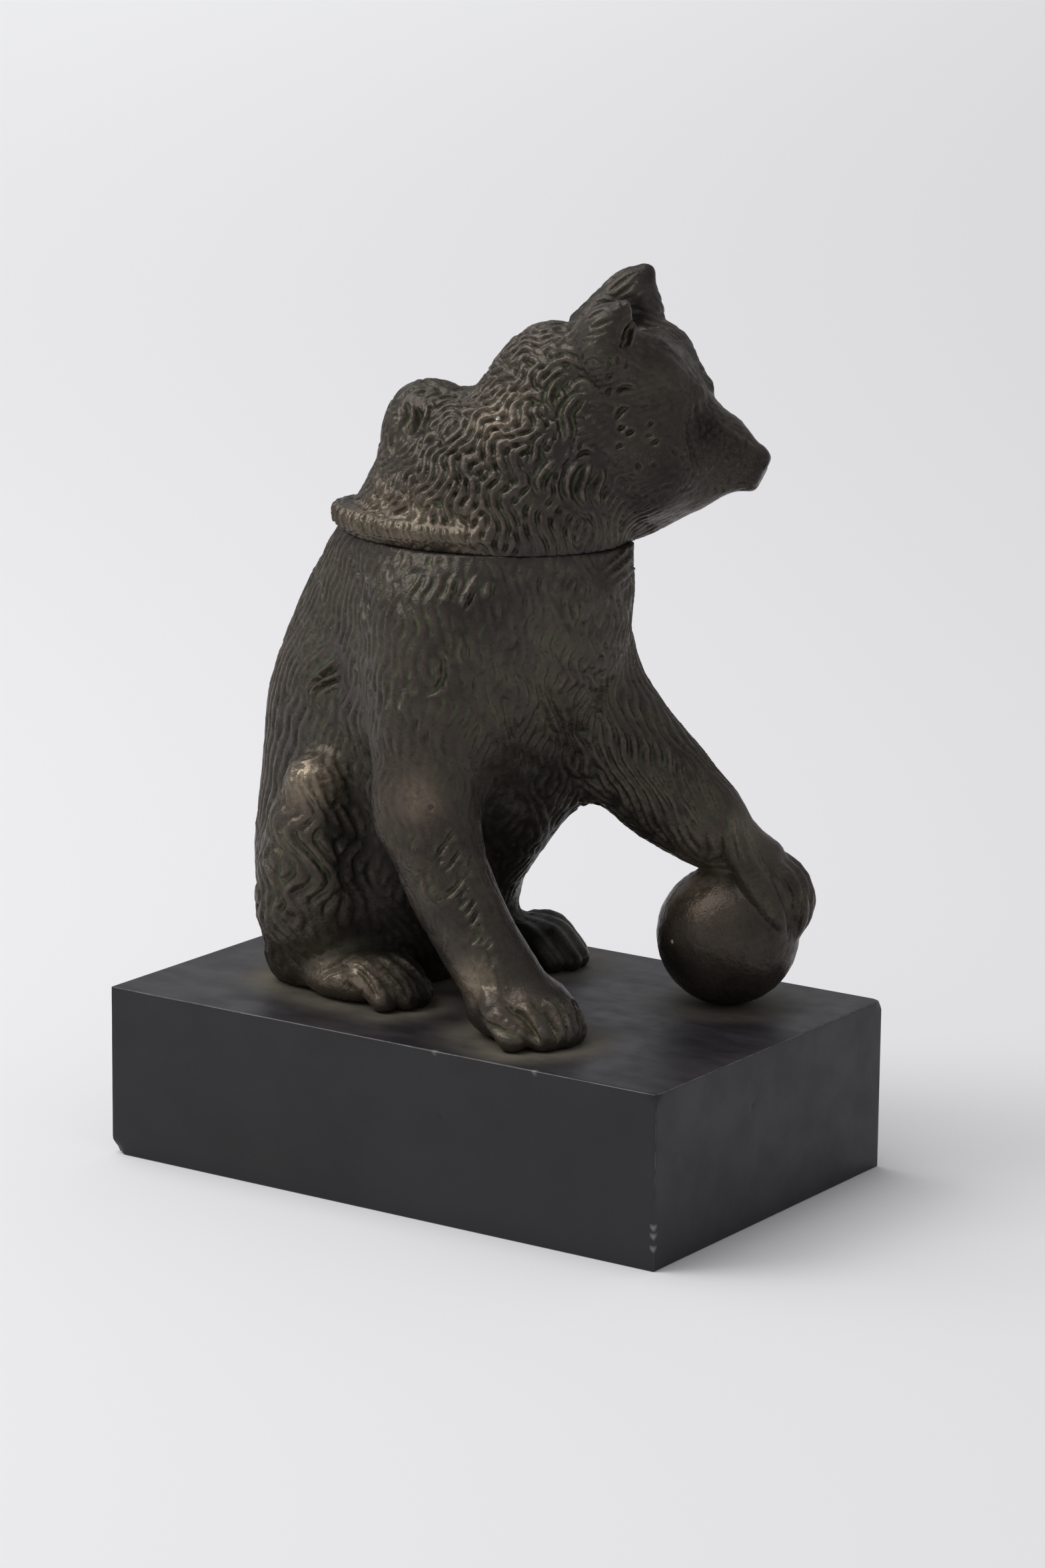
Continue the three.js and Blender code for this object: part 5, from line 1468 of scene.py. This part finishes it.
def hidden(skin, masses, reaches):
    """How shut in the skin is: the mean of 1 - D(p + d n) / d over distances d out along its normal
    n, D being the distance to the masses. Worked out some 2 mm apart, then smoothed."""
    some, home = scattered(skin, 2.2, 1, homes=True)
    at, out = skin.points[some], skin.broad[some]
    shut = sum(np.clip(1 - sculpt(masses, at + out * d) / d, 0, 1) for d in reaches)
    return skin.blurred(shut[home] / len(reaches), 8)


def spread(points, spots):
    """The largest of soft blobs exp(-(distance / radius)^2) at the given (place, radius, strength)."""
    out = np.zeros(len(points))
    for place, radius, strength in spots:
        d2 = ((points - np.array(place)) ** 2).sum(1)
        out = np.maximum(out, strength * np.exp(-d2 / radius**2))
    return out


def bear_piece(name, node, masses, skin, guides, lie, floor, ceiling, wear_and_highlight):
    """A carved piece of the bear in place of its plain node; lie is how its coat is laid."""
    skin.broad = skin.facing(skin.blurred(skin.points, 12))
    CARVE[node](skin)
    coat(skin, guides, *lie)
    x, y, z = skin.points.T
    slow, quick = 1.2 * np.sin(0.4 * y + 0.3 * x), 1.9 * np.sin(1.3 * y - 0.8 * x)
    skin.height += 0.1 * np.sin(0.7 * x + 1.5 * np.sin(0.5 * z)) * np.sin(0.6 * z + slow)
    skin.height += 0.05 * np.sin(1.9 * x + 1.7 * np.sin(1.1 * z + y)) * np.sin(1.7 * z + quick)
    points, crease = finished(skin)
    marks = {
        "crease": np.clip(crease / 0.5, 0, 1),
        "proud": np.clip(-crease / 0.45, 0, 1),
        "deep": ramp(0.15, 0.75, hidden(skin, masses, NOOKS)),
        # rubbed wear and painted highlight on the knee, paws, ball and rolled rim
        "wear_and_highlight": spread(points, wear_and_highlight),
        # painted shade: how shut in the skin is, with the listed spots of painted shade
        "shade": np.maximum(ramp(0.2, 0.6, hidden(skin, masses, HOLLOWS)), spread(points, PAINTED_SHADE_SPOTS)),
        "rust": spread(points, RUST),
    }
    piece = made(name, skin, points, floor, ceiling, marks)
    piece.data.materials.append(BRONZE)
    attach(piece, "root")
    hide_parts(node)


def carve_body(skin):
    """The strokes that the photograph shows one by one on the body."""
    carved(skin, CHEST_STROKES + FLANK_STROKES + LEG_STROKES)
    folded(skin, FOLDS)


def stippled(skin):
    """Small upright dents scattered over both sides of the muzzle and below the eyes."""
    roots = skin.points[scattered(skin, 1.7, 11)]
    q = (roots - np.array([*NOSE, 0])) @ YAW
    roots = roots[(q[:, 0] > -19) & (q[:, 0] < -2) & (np.abs(q[:, 1]) > 2.5) & (q[:, 2] > 191)]
    for i, root in enumerate(roots):
        lean = 0.5 * math.sin(3.7 * i)
        path, normal = drawn(skin, root, root - (lean, lean, 1.0), root - (lean, 0, 2.0), steps=2)
        cut(skin, path, normal, 1.1, 0.22 + 0.1 * math.sin(5.1 * i))


def by_rim(angle, length, width, z):
    """A place on an ellipse round the lid's rim."""
    return (RIM[0] + length * math.cos(angle), RIM[1] + width * math.sin(angle), z)


def carve_lid(skin):
    """The face's and the mane's own strokes, then the ribs that twist round the rolled rim."""
    carved(skin, FACE_STROKES + MANE_STROKES)
    stippled(skin)
    for k in range(46):
        a = math.radians(174 + 2.55 * k)
        b = a + math.radians(3.2)
        path, normal = drawn(skin, by_rim(a, 41.5, 32.3, 183.4), by_rim(a + 0.02, 43.6, 34.4, 180.6),
                             by_rim(b, 42.6, 33.4, 178.0))
        size = math.sin(math.pi * (k + 3) / 52) ** 0.5 * (0.75 + 0.35 * math.sin(k * 2.1))
        ridge(skin, path, normal, 2.1, 1.7 * size, ends=0.2)


photo_camera()
studio()
CARVE = {"bear_body": carve_body, "bear_head": carve_lid}
BRONZE = bronze()
bear_piece("bear_body_carved", "bear_body", BODY, Skin(body_field, *BODY_GRID),
           BODY_GUIDES, BODY_LIE, FEET_Z, SEAM_Z - SEAM_GAP / 2, WEAR_AND_HIGHLIGHT_BODY)
bear_piece("bear_head_carved", "bear_head", LID, Skin(lid_field, *LID_GRID),
           LID_GUIDES, LID_LIE, SEAM_Z + SEAM_GAP / 2, None, WEAR_AND_HIGHLIGHT_LID)
block = plinth()
block.data.materials.append(slate())
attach(block, "root")
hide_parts("plinth")
